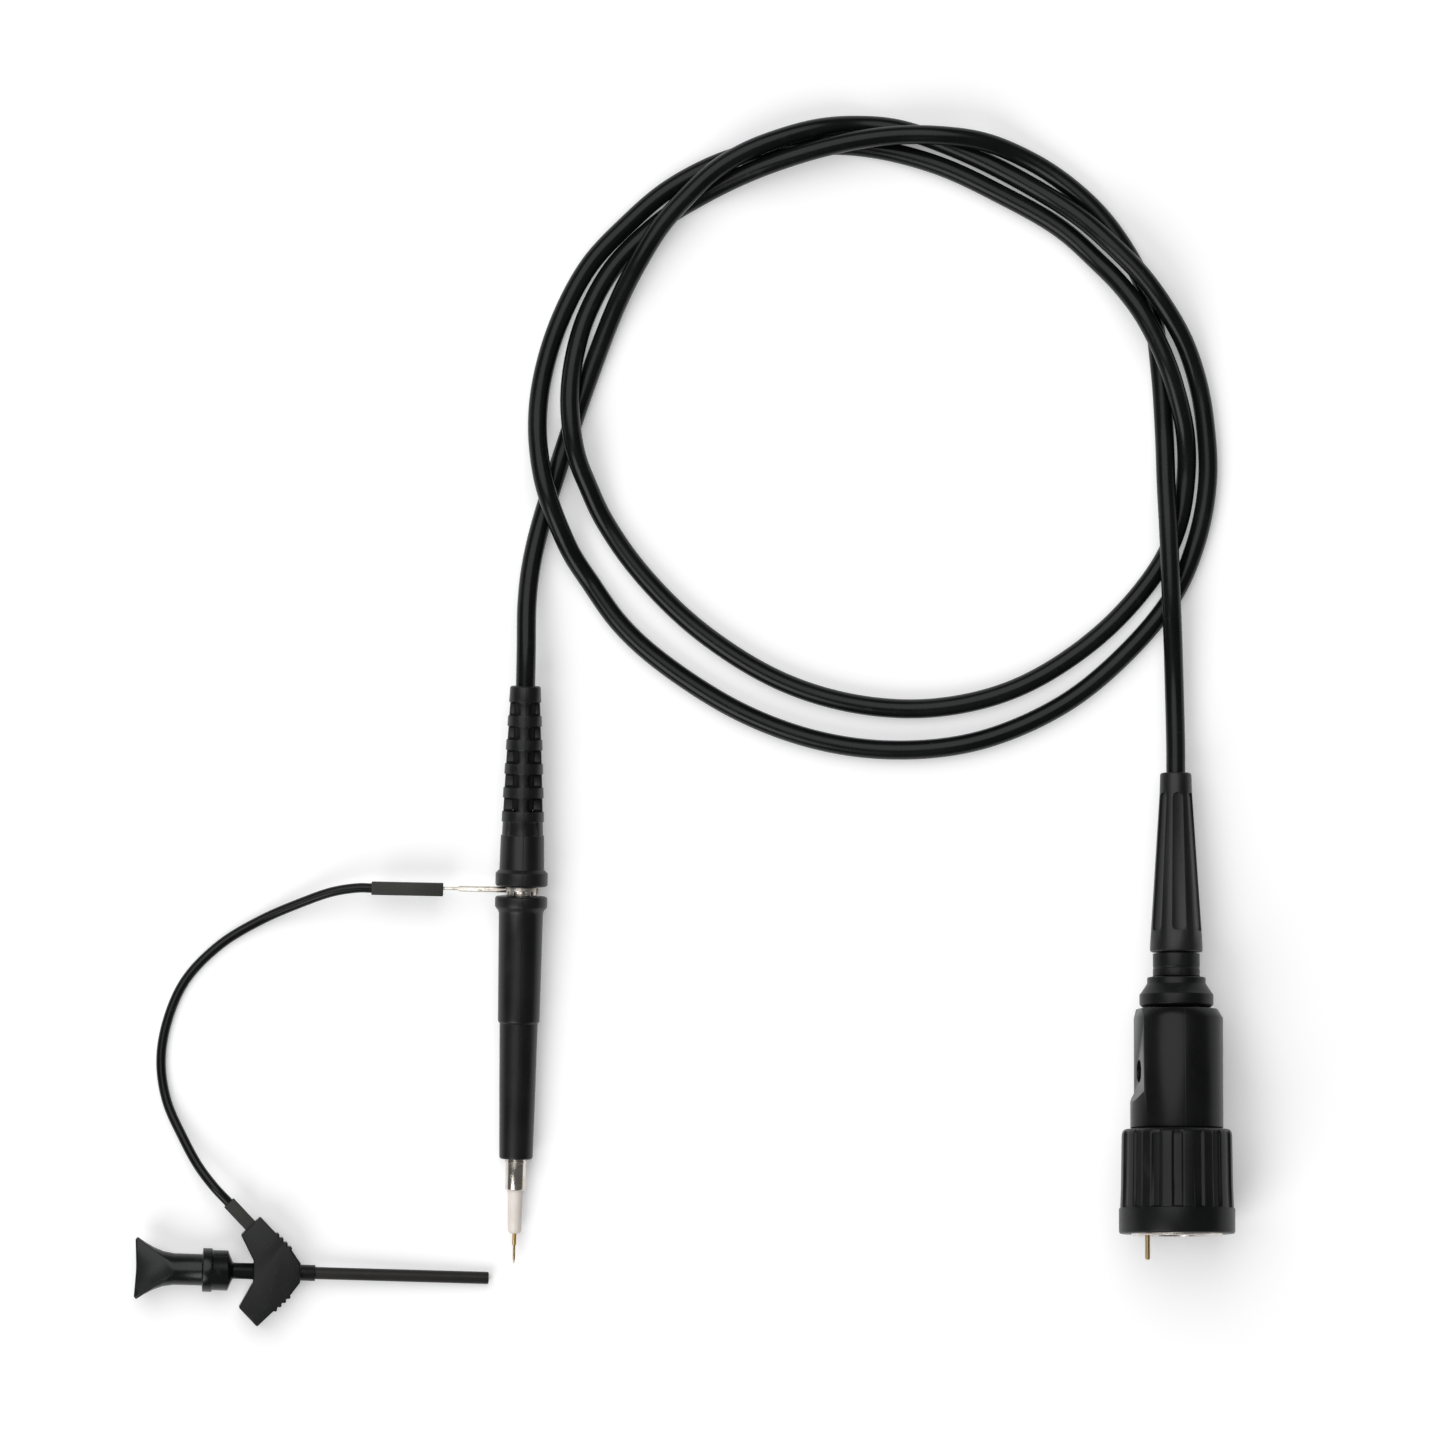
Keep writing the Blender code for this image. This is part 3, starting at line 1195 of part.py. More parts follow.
def make_board():
    top = -BOARD_FACE
    middle = -BOARD_FROM - BOARD_LEN / 2.0
    width = 2.0 * (math.sqrt((BOX_R - BOX_WALL) ** 2 - BOARD_FACE ** 2) - SEAT_GAP)
    box("circuit_board", (BOARD_THICK, width, BOARD_LEN),
        (top + BOARD_THICK / 2.0, 0.0, middle), "board_green", BOX)
    foot = top - SEAT_GAP
    box("trimmer_base", (TRIMMER_HEIGHT, TRIMMER_SIDE, TRIMMER_SIDE),
        (foot - TRIMMER_HEIGHT / 2.0, 0.0, -TRIM_HOLE_AT), "part_tan", BOX)
    seat = foot - TRIMMER_HEIGHT - SEAT_GAP
    lies = shifted(seat - ROTOR_HEIGHT / 2.0, 0.0, -TRIM_HOLE_AT) @ along_x()
    rotor = mesh_object(
        "trimmer_rotor",
        lambda shape: add_drum(shape, ROTOR_R, ROTOR_HEIGHT, Matrix.Identity(4), BORE_STEPS),
        "brass", BOX, lies)
    cut(rotor, box("rotor_slot", (ROTOR_HEIGHT, ROTOR_SLOT, 4.0 * ROTOR_R),
                   (seat - ROTOR_HEIGHT, 0.0, -TRIM_HOLE_AT), None, BOX))
    stand = top + BOARD_THICK + SEAT_GAP + BOARD_RESISTOR_R
    drum("board_resistor", BOARD_RESISTOR_R, BOARD_RESISTOR_LEN,
         shifted(stand, BOARD_RESISTOR_ASIDE, middle), "part_tan", BOX, TINY_STEPS)


def make_plug_rear():
    nut_front = -BOX_REAR - SEAT_GAP
    nut_rear = nut_front - NUT_LEN
    turned("rear_nut",
           [(NUT_R - NUT_CHAMFER, nut_front), (NUT_R, nut_front - NUT_CHAMFER),
            (NUT_R, nut_rear + NUT_NECK_LEN + NUT_FLARE_LEN),
            (NUT_NECK_R, nut_rear + NUT_NECK_LEN),
            (NUT_NECK_R, nut_rear + NUT_EDGE), (NUT_NECK_R - NUT_EDGE, nut_rear),
            (GLAND_STUB_R + SEAT_GAP, nut_rear),
            (GLAND_STUB_R + SEAT_GAP, nut_front)],
           "hard_black", PLUG)
    neck_front = nut_rear - SEAT_GAP
    neck_rear = neck_front - GLAND_NECK_LEN
    tail_rear = neck_rear - GLAND_TAIL_LEN
    bore = CABLE_DIA / 2.0 + SEAT_GAP
    turned("cable_gland",
           [(GLAND_STUB_R, -GLAND_STUB_END), (GLAND_STUB_R, neck_front),
            (GLAND_R, neck_front), (GLAND_R, neck_rear),
            (GLAND_STUB_R, neck_rear), (GLAND_STUB_R, tail_rear), (bore, tail_rear),
            (bore, neck_front + GLAND_STOP_LEN), (GLAND_CORE_R, neck_front + GLAND_STOP_LEN),
            (GLAND_CORE_R, -GLAND_STUB_END)],
           "hard_black", PLUG)
    front = neck_rear - SEAT_GAP
    rear = front - PLUG_BOOT_LEN
    boot = turned("plug_boot",
                  [(PLUG_BOOT_R - PLUG_BOOT_EDGE, front), (PLUG_BOOT_R, front - PLUG_BOOT_EDGE),
                   (PLUG_BOOT_R, front - PLUG_BOOT_RIM),
                   (PLUG_BOOT_TOP_R + PLUG_BOOT_SWELL, rear + PLUG_BOOT_TOP_BAND),
                   (PLUG_BOOT_TOP_R, rear + 2.0 * PLUG_BOOT_EDGE),
                   (PLUG_BOOT_TOP_R - PLUG_BOOT_EDGE / 2.0, rear + PLUG_BOOT_EDGE / 2.0),
                   (PLUG_BOOT_TOP_R - 2.0 * PLUG_BOOT_EDGE, rear), (bore, rear),
                   (bore, tail_rear - SEAT_GAP), (GLAND_STUB_R + SEAT_GAP, tail_rear - SEAT_GAP),
                   (GLAND_STUB_R + SEAT_GAP, front)],
                  "soft_black", PLUG)
    foot = front - PLUG_BOOT_BAND
    crown = rear + PLUG_BOOT_TOP_BAND
    length = foot - crown
    run = PLUG_BOOT_LEN - PLUG_BOOT_RIM - PLUG_BOOT_TOP_BAND
    slope = (PLUG_BOOT_R - PLUG_BOOT_TOP_R - PLUG_BOOT_SWELL) / run

    def flutes(shape):
        radius = PLUG_BOOT_R - slope * (PLUG_BOOT_BAND - PLUG_BOOT_RIM + length / 2.0)
        tilt = Matrix.Rotation(math.atan(slope), 4, "Y")
        narrow = PLUG_BOOT_FLUTE_NARROW / PLUG_BOOT_FLUTE_WIDE
        for flute in range(PLUG_BOOT_FLUTES):
            angle = 90.0 - PLUG_BOOT_FLUTE_PHASE + 360.0 * flute / PLUG_BOOT_FLUTES
            turn = Matrix.Rotation(math.radians(angle), 4, "Z")
            out = radius - PLUG_BOOT_FLUTE_DEPTH + PLUG_BOOT_FLUTE_REACH / 2.0
            place = turn @ shifted(out, 0.0, (foot + crown) / 2.0) @ tilt
            verts = add_box(shape, (PLUG_BOOT_FLUTE_REACH, PLUG_BOOT_FLUTE_WIDE, length),
                            (0.0, 0.0, 0.0))
            for vert in verts:
                if vert.co.z < 0.0:
                    vert.co.y *= narrow
            edges = {edge for vert in verts for edge in vert.link_edges
                     if abs(edge.verts[0].co.x - edge.verts[1].co.x) > TOUCH}
            rounded = bmesh.ops.bevel(shape, geom=list(edges), segments=2, profile=0.5,
                                      offset=PLUG_BOOT_FLUTE_ROUND * MM,
                                      affect="EDGES")
            moved = set(rounded["verts"]) | {vert for vert in verts if vert.is_valid}
            bmesh.ops.transform(shape, matrix=place, verts=list(moved))

    cut(boot, mesh_object("plug_boot_flutes", flutes, None, PLUG))
    return rear, neck_front + GLAND_STOP_LEN - SEAT_GAP


# Main cable: out of the head, three loose turns and back down to the plug

def make_main_cable(boot_rear, cable_end):
    radius = CABLE_DIA / 2.0
    low = radius
    high = low + CABLE_DIA + 0.3
    start = SLEEVE_TAIL_LEN + 4.0
    top, _ = boot_outline()
    leave = [world_point(HEAD, (0.0, 0.0, height)) for height in
             (start, (start + top) / 2.0, top - 1.0, top + 7.0)]
    first_rise = [
        (-30.6, 78.5, 5.4), (-29.9, 85.5, 3.5), (-28.3, 93.0, 2.1), (-24.0, 107.0, low),
        (-18.7, 122.6, low), (-13.0, 137.3, 3.2), (-8.7, 145.7, 5.2), (-4.2, 152.8, high),
        (0.9, 158.5, high + 0.2), (6.2, 163.4, high + 0.2), (12.1, 167.0, high),
        (18.9, 169.7, 5.5), (26.8, 171.8, 4.2), (34.6, 172.4, 2.2)]
    first_fall = [
        (42.5, 171.6, low), (56.2, 166.6, low), (69.9, 159.4, 2.6), (77.7, 154.2, 4.5),
        (83.6, 149.0, 5.8), (89.5, 143.0, high), (93.6, 137.5, 5.7), (97.8, 130.4, 3.8),
        (100.6, 122.6, 2.2), (102.1, 114.7, low)]
    first_bottom = [
        (102.7, 103.0, low), (100.6, 91.2, low), (95.8, 80.0, low), (85.6, 67.9, low),
        (73.8, 58.6, low), (58.1, 51.9, low), (42.5, 50.0, low), (26.8, 51.8, low),
        (11.1, 57.5, low), (-4.6, 67.5, low), (-12.5, 74.8, low), (-18.5, 83.2, low),
        (-21.6, 87.9, 3.0), (-23.6, 92.0, 4.6)]
    second_rise = [
        (-26.3, 99.0, high), (-27.8, 105.0, 5.6), (-28.6, 113.7, 2.8), (-27.7, 122.6, low),
        (-24.4, 133.7, low), (-18.5, 144.9, low), (-11.2, 152.8, low), (-3.0, 159.8, low),
        (7.8, 165.4, low), (17.0, 167.7, low), (28.7, 168.5, low)]
    second_fall = [
        (38.5, 167.6, low), (50.3, 164.4, low), (61.9, 159.0, low), (73.8, 152.2, low),
        (81.6, 145.2, 2.6), (85.6, 141.0, 4.2), (89.5, 135.8, 5.8), (92.5, 130.4, high),
        (95.0, 124.5, 5.9), (97.0, 118.0, 4.6), (98.3, 111.8, 2.9)]
    second_bottom = [
        (98.5, 104.0, low), (96.9, 94.1, low), (92.8, 85.3, low), (81.7, 72.7, low),
        (66.0, 62.5, low), (50.3, 58.4, low), (34.6, 58.9, low), (18.9, 63.6, low),
        (3.2, 73.4, low), (-8.5, 84.9, low), (-15.6, 95.1, 2.2), (-18.6, 101.5, 3.9)]
    third_rise = [
        (-20.9, 107.5, 5.6), (-22.0, 114.0, high), (-22.2, 120.0, 5.2), (-21.2, 127.8, 3.0),
        (-18.8, 135.6, low), (-13.4, 145.0, low), (-3.8, 154.1, low), (3.2, 158.4, 2.2),
        (11.1, 162.3, 3.9), (18.9, 165.3, 5.5), (26.8, 167.7, high), (34.6, 169.4, high)]
    third_fall = [
        (42.5, 170.3, high), (50.3, 170.2, high), (58.1, 169.2, 4.8), (65.0, 166.8, 2.8),
        (73.0, 162.3, low), (81.7, 154.6, low), (88.6, 144.4, low), (91.6, 136.7, low),
        (93.4, 124.0, low), (94.2, 112.0, 2.0), (94.5, 102.0, 3.7), (94.8, 95.1, 5.5),
        (95.1, 88.0, high), (95.4, 79.6, high), (95.7, 73.0, 5.2), (96.0, 64.0, 4.4)]
    arrive = [world_point(PLUG, (0.0, 0.0, height)) for height in
              (boot_rear - CABLE_END_STRAIGHT, boot_rear, (boot_rear + cable_end) / 2.0,
               cable_end)]
    route = (leave + first_rise + first_fall + first_bottom + second_rise + second_fall
             + second_bottom + third_rise + third_fall + arrive)
    wire("main_cable", smooth_route(route, CABLE_SAMPLES, radius), radius,
         "cable_black", None)


def shade_pieces():
    # each piece keeps its finished mesh, smooth on its round sides
    bpy.context.view_layer.update()
    graph = bpy.context.evaluated_depsgraph_get()
    for piece in [item for item in PROBE.objects if item.type == "MESH"]:
        mesh = bpy.data.meshes.new_from_object(piece.evaluated_get(graph))
        mesh.shade_smooth()
        mesh.set_sharp_from_angle(angle=math.radians(35.0))
        piece.modifiers.clear()
        piece.data = mesh


make_probe_boot()
make_probe_barrel()
make_head_metal()
make_tip()
make_divider()
make_ground_clip()
make_socket("clip_socket", CLIP_SOCKET)
make_socket("grabber_socket", GRABBER_SOCKET)
make_lead_wire()
make_grabber_body()
make_grabber_metal()
make_plunger()
make_lock_ring()
make_bayonet_ring()
make_plug_core()
make_readout()
make_box()
make_board()
plug_boot_rear, plug_cable_end = make_plug_rear()
make_main_cable(plug_boot_rear, plug_cable_end)
shade_pieces()
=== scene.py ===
import json
import math

import bmesh
import bpy
import numpy as np
from mathutils import Matrix, Vector

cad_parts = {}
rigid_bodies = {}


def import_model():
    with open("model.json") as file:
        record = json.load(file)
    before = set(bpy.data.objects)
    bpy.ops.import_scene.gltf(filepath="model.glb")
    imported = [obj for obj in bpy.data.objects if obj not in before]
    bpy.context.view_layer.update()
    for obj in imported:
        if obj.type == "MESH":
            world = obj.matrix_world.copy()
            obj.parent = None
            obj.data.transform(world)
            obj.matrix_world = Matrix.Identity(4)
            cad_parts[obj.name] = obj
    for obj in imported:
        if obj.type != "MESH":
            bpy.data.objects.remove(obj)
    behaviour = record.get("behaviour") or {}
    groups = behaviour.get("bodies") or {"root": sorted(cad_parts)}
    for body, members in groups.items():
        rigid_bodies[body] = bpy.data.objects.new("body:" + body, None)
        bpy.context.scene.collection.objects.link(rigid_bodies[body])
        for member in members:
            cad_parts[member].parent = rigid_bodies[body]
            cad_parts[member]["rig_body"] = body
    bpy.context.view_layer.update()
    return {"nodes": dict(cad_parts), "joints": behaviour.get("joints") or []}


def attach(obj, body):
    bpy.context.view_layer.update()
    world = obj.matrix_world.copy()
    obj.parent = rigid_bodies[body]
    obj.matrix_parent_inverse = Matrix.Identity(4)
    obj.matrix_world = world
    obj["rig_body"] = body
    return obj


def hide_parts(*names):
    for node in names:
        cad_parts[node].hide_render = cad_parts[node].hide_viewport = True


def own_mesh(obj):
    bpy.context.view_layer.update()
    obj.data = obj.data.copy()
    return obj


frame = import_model()
mm = 0.001
joints = {joint["name"]: joint for joint in frame["joints"]}
print("frame loaded:", len(frame["nodes"]), "nodes")


def addObject(name, data):
    item = bpy.data.objects.new(name, data)
    bpy.context.scene.collection.objects.link(item)
    return item


# Camera: straight above the layout, far away, so that verticals hardly lean
cameraSettings = {
    "over": (7.16, 55.9),
    "height": 2200.0,
    "pixelsPerMm": 5.1,
    "imageWidth": 1440.0,
    "sensor": 36.0,
    "clipEnd": 20.0,
}


def makeCamera(settings):
    data = bpy.data.cameras.new("camera")
    data.sensor_width = settings["sensor"]
    share = settings["pixelsPerMm"] * settings["height"] / settings["imageWidth"]
    data.lens = share * settings["sensor"]
    data.clip_end = settings["clipEnd"]
    camera = addObject("camera", data)
    camera.location = Vector((*settings["over"], settings["height"])) * mm
    bpy.context.scene.camera = camera


makeCamera(cameraSettings)
print("camera placed")


# Frames of the head, the plug, the grabber and their sockets, set by their joints
placeSettings = {
    "boxRoll": -9.0,
    "clipSocketOut": 15.3,
    "grabberOrigin": (-84.2, -52.0, 3.83),
}
wingSettings = {"angle": 45.0, "rootX": 8.1, "reach": 12.6, "depth": 7.8}
upwards = Vector((0.0, 0.0, 1.0))


def axisFrame(origin, along, flip=1.0):
    # Z runs along the axis and X stays level
    z = Vector(along).normalized()
    x = (z.cross(upwards) * flip).normalized()
    turn = Matrix((x, z.cross(x), z)).transposed().to_4x4()
    return Matrix.Translation(Vector(origin)) @ turn


def grabberPlace(origin, along):
    # X runs along the tube and Y stays level
    x = Vector(along).normalized()
    y = upwards.cross(x).normalized()
    turn = Matrix((x, y, x.cross(y))).transposed().to_4x4()
    return Matrix.Translation(Vector(origin) * mm) @ turn


def shifted(place, point):
    # the same frame, moved to a point that is given in it
    return place @ Matrix.Translation(Vector(point) * mm)


def placed(place, point):
    return tuple(place @ (Vector(point) * mm) / mm)


def wingSocket(settings):
    # the lead's far socket, deep in the mouth of the grabber's first wing
    turn = math.radians(settings["angle"])
    mouth = (settings["rootX"] - settings["reach"] * math.cos(turn),
             settings["reach"] * math.sin(turn), 0.0)
    wing = shifted(grabberFrame, mouth) @ Matrix.Rotation(-turn, 4, "Z")
    return shifted(wing, (settings["depth"], 0.0, 0.0))


headFrame = axisFrame(joints["clip_swivel"]["pos_m"], joints["clip_swivel"]["axis"])
plugFrame = axisFrame(joints["ring_turn"]["pos_m"], joints["ring_turn"]["axis"], -1.0)
boxFrame = plugFrame @ Matrix.Rotation(math.radians(placeSettings["boxRoll"]), 4, "Z")
grabberFrame = grabberPlace(placeSettings["grabberOrigin"], joints["plunger_press"]["axis"])
grabberSocketFrame = wingSocket(wingSettings)
clipSocketFrame = shifted(headFrame, (-placeSettings["clipSocketOut"], 0.0, 0.0))


# Cleaning and shading that all meshes share; the angles are in degrees
meshSettings = {
    "weld": 0.002,
    "flat": 0.8,
    "bevelFrom": 38.0,
    "sharpFrom": 34.0,
}
fullTurn = 360.0


def evaluatedMesh(item):
    # the mesh that an object's curve or modifiers give
    bpy.context.view_layer.update()
    graph = bpy.context.evaluated_depsgraph_get()
    return bpy.data.meshes.new_from_object(item.evaluated_get(graph))


def weld(shape):
    distance = meshSettings["weld"] * mm
    bmesh.ops.remove_doubles(shape, verts=shape.verts, dist=distance)


def cleanMesh(mesh, flat=0.0):
    # welds the corners, and joins faces that meet at less than an angle
    shape = bmesh.new()
    shape.from_mesh(mesh)
    weld(shape)
    if flat:
        bmesh.ops.dissolve_limit(shape, angle_limit=math.radians(flat), verts=shape.verts,
                                 edges=shape.edges)
    shape.to_mesh(mesh)
    shape.free()


def shadeMesh(mesh, sharpFrom):
    mesh.shade_smooth()
    mesh.set_sharp_from_angle(angle=math.radians(sharpFrom))


# Cords: the route's own points, a centripetal curve through them, even samples
cableSettings = {
    "diameter": 3.8,
    "samples": 860,
    "roundness": 5,
    "sharpFrom": 50.0,
    "gap": 0.3,
    "headStart": 12.3,
    "bootTop": 40.18,
    "insideBoot": 1.0,
    "pastBoot": 7.0,
    "bootRear": -90.1,
    "end": -48.8,
    "endStraight": 5.0,
}
leadSettings = {
    "diameter": 1.9,
    "samples": 150,
    "roundness": 4,
    "sharpFrom": 50.0,
    "socketLength": 14.0,
    "startStraight": 2.5,
    "endStraight": 4.2,
}


def between(one, two, start, end, knot):
    return one + (two - one) * (knot - start) / (end - start)


def smoothRoute(points, samples, radius, perSpan=24):
    # no point of the line comes nearer to the bench than the cord's radius
    places = np.array([tuple(point) for point in points], float)
    ends = np.vstack([2 * places[0] - places[1], places, 2 * places[-1] - places[-2]])
    fine = []
    for four in zip(ends, ends[1:], ends[2:], ends[3:]):
        spans = [np.linalg.norm(two - one) ** 0.5 for one, two in zip(four, four[1:])]
        knots = np.concatenate([[0.0], np.cumsum(spans)])
        for knot in np.linspace(knots[1], knots[2], perSpan, endpoint=False):
            row = [between(four[i], four[i + 1], knots[i], knots[i + 1], knot)
                   for i in range(3)]
            pair = [between(row[i], row[i + 1], knots[i], knots[i + 2], knot)
                    for i in range(2)]
            fine.append(between(*pair, knots[1], knots[2], knot))
    fine = np.array(fine + [places[-1]])
    steps = np.linalg.norm(np.diff(fine, axis=0), axis=1)
    along = np.concatenate([[0.0], np.cumsum(steps)])
    wanted = np.linspace(0.0, along[-1], samples)
    even = np.column_stack([np.interp(wanted, along, fine[:, axis]) for axis in range(3)])
    even[:, 2] = np.maximum(even[:, 2], radius)
    return even, along[-1]


def makeCord(name, route, settings, body, node):
    # a curve swept to a tube, kept as a mesh together with the line that it follows
    radius = settings["diameter"] / 2.0
    even, length = smoothRoute(route, settings["samples"], radius)
    curve = bpy.data.curves.new(name + "Line", "CURVE")
    curve.dimensions = "3D"
    curve.bevel_depth = radius * mm
    curve.bevel_resolution = settings["roundness"]
    curve.use_fill_caps = True
    spline = curve.splines.new("POLY")
    spline.points.add(len(even) - 1)
    for point, place in zip(spline.points, even):
        point.co = (*(Vector(place) * mm), 1.0)
    line = addObject(name + "Line", curve)
    mesh = evaluatedMesh(line)
    bpy.data.objects.remove(line)
    cleanMesh(mesh)
    shadeMesh(mesh, settings["sharpFrom"])
    cord = addObject(name, mesh)
    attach(cord, body)
    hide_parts(node)
    return cord, length * mm, [tuple(Vector(place) * mm) for place in even]


def cableRoute(settings):
    low = settings["diameter"] / 2.0
    high = low + settings["diameter"] + settings["gap"]
    start, top = settings["headStart"], settings["bootTop"]
    leave = [placed(headFrame, (0.0, 0.0, height)) for height in
             (start, (start + top) / 2.0, top - settings["insideBoot"],
              top + settings["pastBoot"])]
    firstRise = [
        (-30.6, 78.5, 5.4), (-29.9, 85.5, 3.5), (-28.3, 93.0, 2.1), (-24.0, 107.0, low),
        (-18.7, 122.6, low), (-13.0, 137.3, 3.2), (-8.7, 145.7, 5.2), (-4.2, 152.8, high),
        (0.9, 158.5, high + 0.2), (6.2, 163.4, high + 0.2), (12.1, 167.0, high),
        (18.9, 169.7, 5.5), (26.8, 171.8, 4.2), (34.6, 172.4, 2.2)]
    firstFall = [
        (42.5, 171.6, low), (56.2, 166.6, low), (69.9, 159.4, 2.6), (77.7, 154.2, 4.5),
        (83.6, 149.0, 5.8), (89.5, 143.0, high), (93.6, 137.5, 5.7), (97.8, 130.4, 3.8),
        (100.6, 122.6, 2.2), (102.1, 114.7, low)]
    firstBottom = [
        (102.7, 103.0, low), (100.6, 91.2, low), (95.8, 80.0, low), (85.6, 67.9, low),
        (73.8, 58.6, low), (58.1, 51.9, low), (42.5, 50.0, low), (26.8, 51.8, low),
        (11.1, 57.5, low), (-4.6, 67.5, low), (-12.5, 74.8, low), (-18.5, 83.2, low),
        (-21.6, 87.9, 3.0), (-23.6, 92.0, 4.6)]
    secondRise = [
        (-26.3, 99.0, high), (-27.8, 105.0, 5.6), (-28.6, 113.7, 2.8), (-27.7, 122.6, low),
        (-24.4, 133.7, low), (-18.5, 144.9, low), (-11.2, 152.8, low), (-3.0, 159.8, low),
        (7.8, 165.4, low), (17.0, 167.7, low), (28.7, 168.5, low)]
    secondFall = [
        (38.5, 167.6, low), (50.3, 164.4, low), (61.9, 159.0, low), (73.8, 152.2, low),
        (81.6, 145.2, 2.6), (85.6, 141.0, 4.2), (89.5, 135.8, 5.8), (92.5, 130.4, high),
        (95.0, 124.5, 5.9), (97.0, 118.0, 4.6), (98.3, 111.8, 2.9)]
    secondBottom = [
        (98.5, 104.0, low), (96.9, 94.1, low), (92.8, 85.3, low), (81.7, 72.7, low),
        (66.0, 62.5, low), (50.3, 58.4, low), (34.6, 58.9, low), (18.9, 63.6, low),
        (3.2, 73.4, low), (-8.5, 84.9, low), (-15.6, 95.1, 2.2), (-18.6, 101.5, 3.9)]
    thirdRise = [
        (-20.9, 107.5, 5.6), (-22.0, 114.0, high), (-22.2, 120.0, 5.2), (-21.2, 127.8, 3.0),
        (-18.8, 135.6, low), (-13.4, 145.0, low), (-3.8, 154.1, low), (3.2, 158.4, 2.2),
        (11.1, 162.3, 3.9), (18.9, 165.3, 5.5), (26.8, 167.7, high), (34.6, 169.4, high)]
    thirdFall = [
        (42.5, 170.3, high), (50.3, 170.2, high), (58.1, 169.2, 4.8), (65.0, 166.8, 2.8),
        (73.0, 162.3, low), (81.7, 154.6, low), (88.6, 144.4, low), (91.6, 136.7, low),
        (93.4, 124.0, low), (94.2, 112.0, 2.0), (94.5, 102.0, 3.7), (94.8, 95.1, 5.5),
        (95.1, 88.0, high), (95.4, 79.6, high), (95.7, 73.0, 5.2), (96.0, 64.0, 4.4)]
    rear, end = settings["bootRear"], settings["end"]
    arrive = [placed(plugFrame, (0.0, 0.0, height)) for height in
              (rear - settings["endStraight"], rear, (rear + end) / 2.0, end)]
    return (leave + firstRise + firstFall + firstBottom + secondRise + secondFall
            + secondBottom + thirdRise + thirdFall + arrive)


def leadRoute(settings):
    away = settings["socketLength"]
    start = [placed(clipSocketFrame, (-away - out, 0.0, 0.0))
             for out in (0.0, settings["startStraight"])]
    end = [placed(grabberSocketFrame, (-away - out, 0.0, 0.0))
           for out in (settings["endStraight"], 0.0)]
    middle = [
        (-68.6, 22.3, 4.7), (-75.2, 20.0, 3.2), (-83.0, 16.6, 1.6), (-90.9, 11.8, 0.95),
        (-97.6, 4.9, 0.95), (-101.1, -2.9, 0.95), (-102.4, -10.8, 0.95),
        (-101.3, -18.6, 1.2), (-98.0, -26.0, 2.2), (-95.0, -31.4, 3.1)]
    return start + middle + end


mainCable, cableLength, cablePath = makeCord(
    "mainCable", cableRoute(cableSettings), cableSettings, "probe_and_plug", "main_cable")
groundLead, leadLength, leadPath = makeCord(
    "groundLeadWire", leadRoute(leadSettings), leadSettings, "ground_lead",
    "ground_lead_wire")
print("cords made:", round(cableLength, 4), "m and", round(leadLength, 4), "m")


# Shader maths: an expression on sockets adds its Math nodes
class Mask:
    def __init__(self, tree, socket):
        self.tree = tree
        self.socket = socket

    def math(self, operation, *values):
        node = self.tree.nodes.new("ShaderNodeMath")
        node.operation = operation
        for slot, value in zip(node.inputs, values):
            fillSlot(self.tree, slot, value)
        return Mask(self.tree, node.outputs[0])

    def __add__(self, other):
        return self.math("ADD", self, other)

    def __radd__(self, other):
        return self.math("ADD", other, self)

    def __sub__(self, other):
        return self.math("SUBTRACT", self, other)

    def __rsub__(self, other):
        return self.math("SUBTRACT", other, self)

    def __mul__(self, other):
        return self.math("MULTIPLY", self, other)

    def __rmul__(self, other):
        return self.math("MULTIPLY", other, self)

    def __abs__(self):
        return self.math("ABSOLUTE", self)


def fillSlot(tree, slot, value):
    # a mask or a socket is linked, and a number or a colour is written
    if isinstance(value, Mask):
        value = value.socket
    if isinstance(value, bpy.types.NodeSocket):
        tree.links.new(value, slot)
    else:
        slot.default_value = (*value, 1.0) if slot.type == "RGBA" else value


finishes = {}


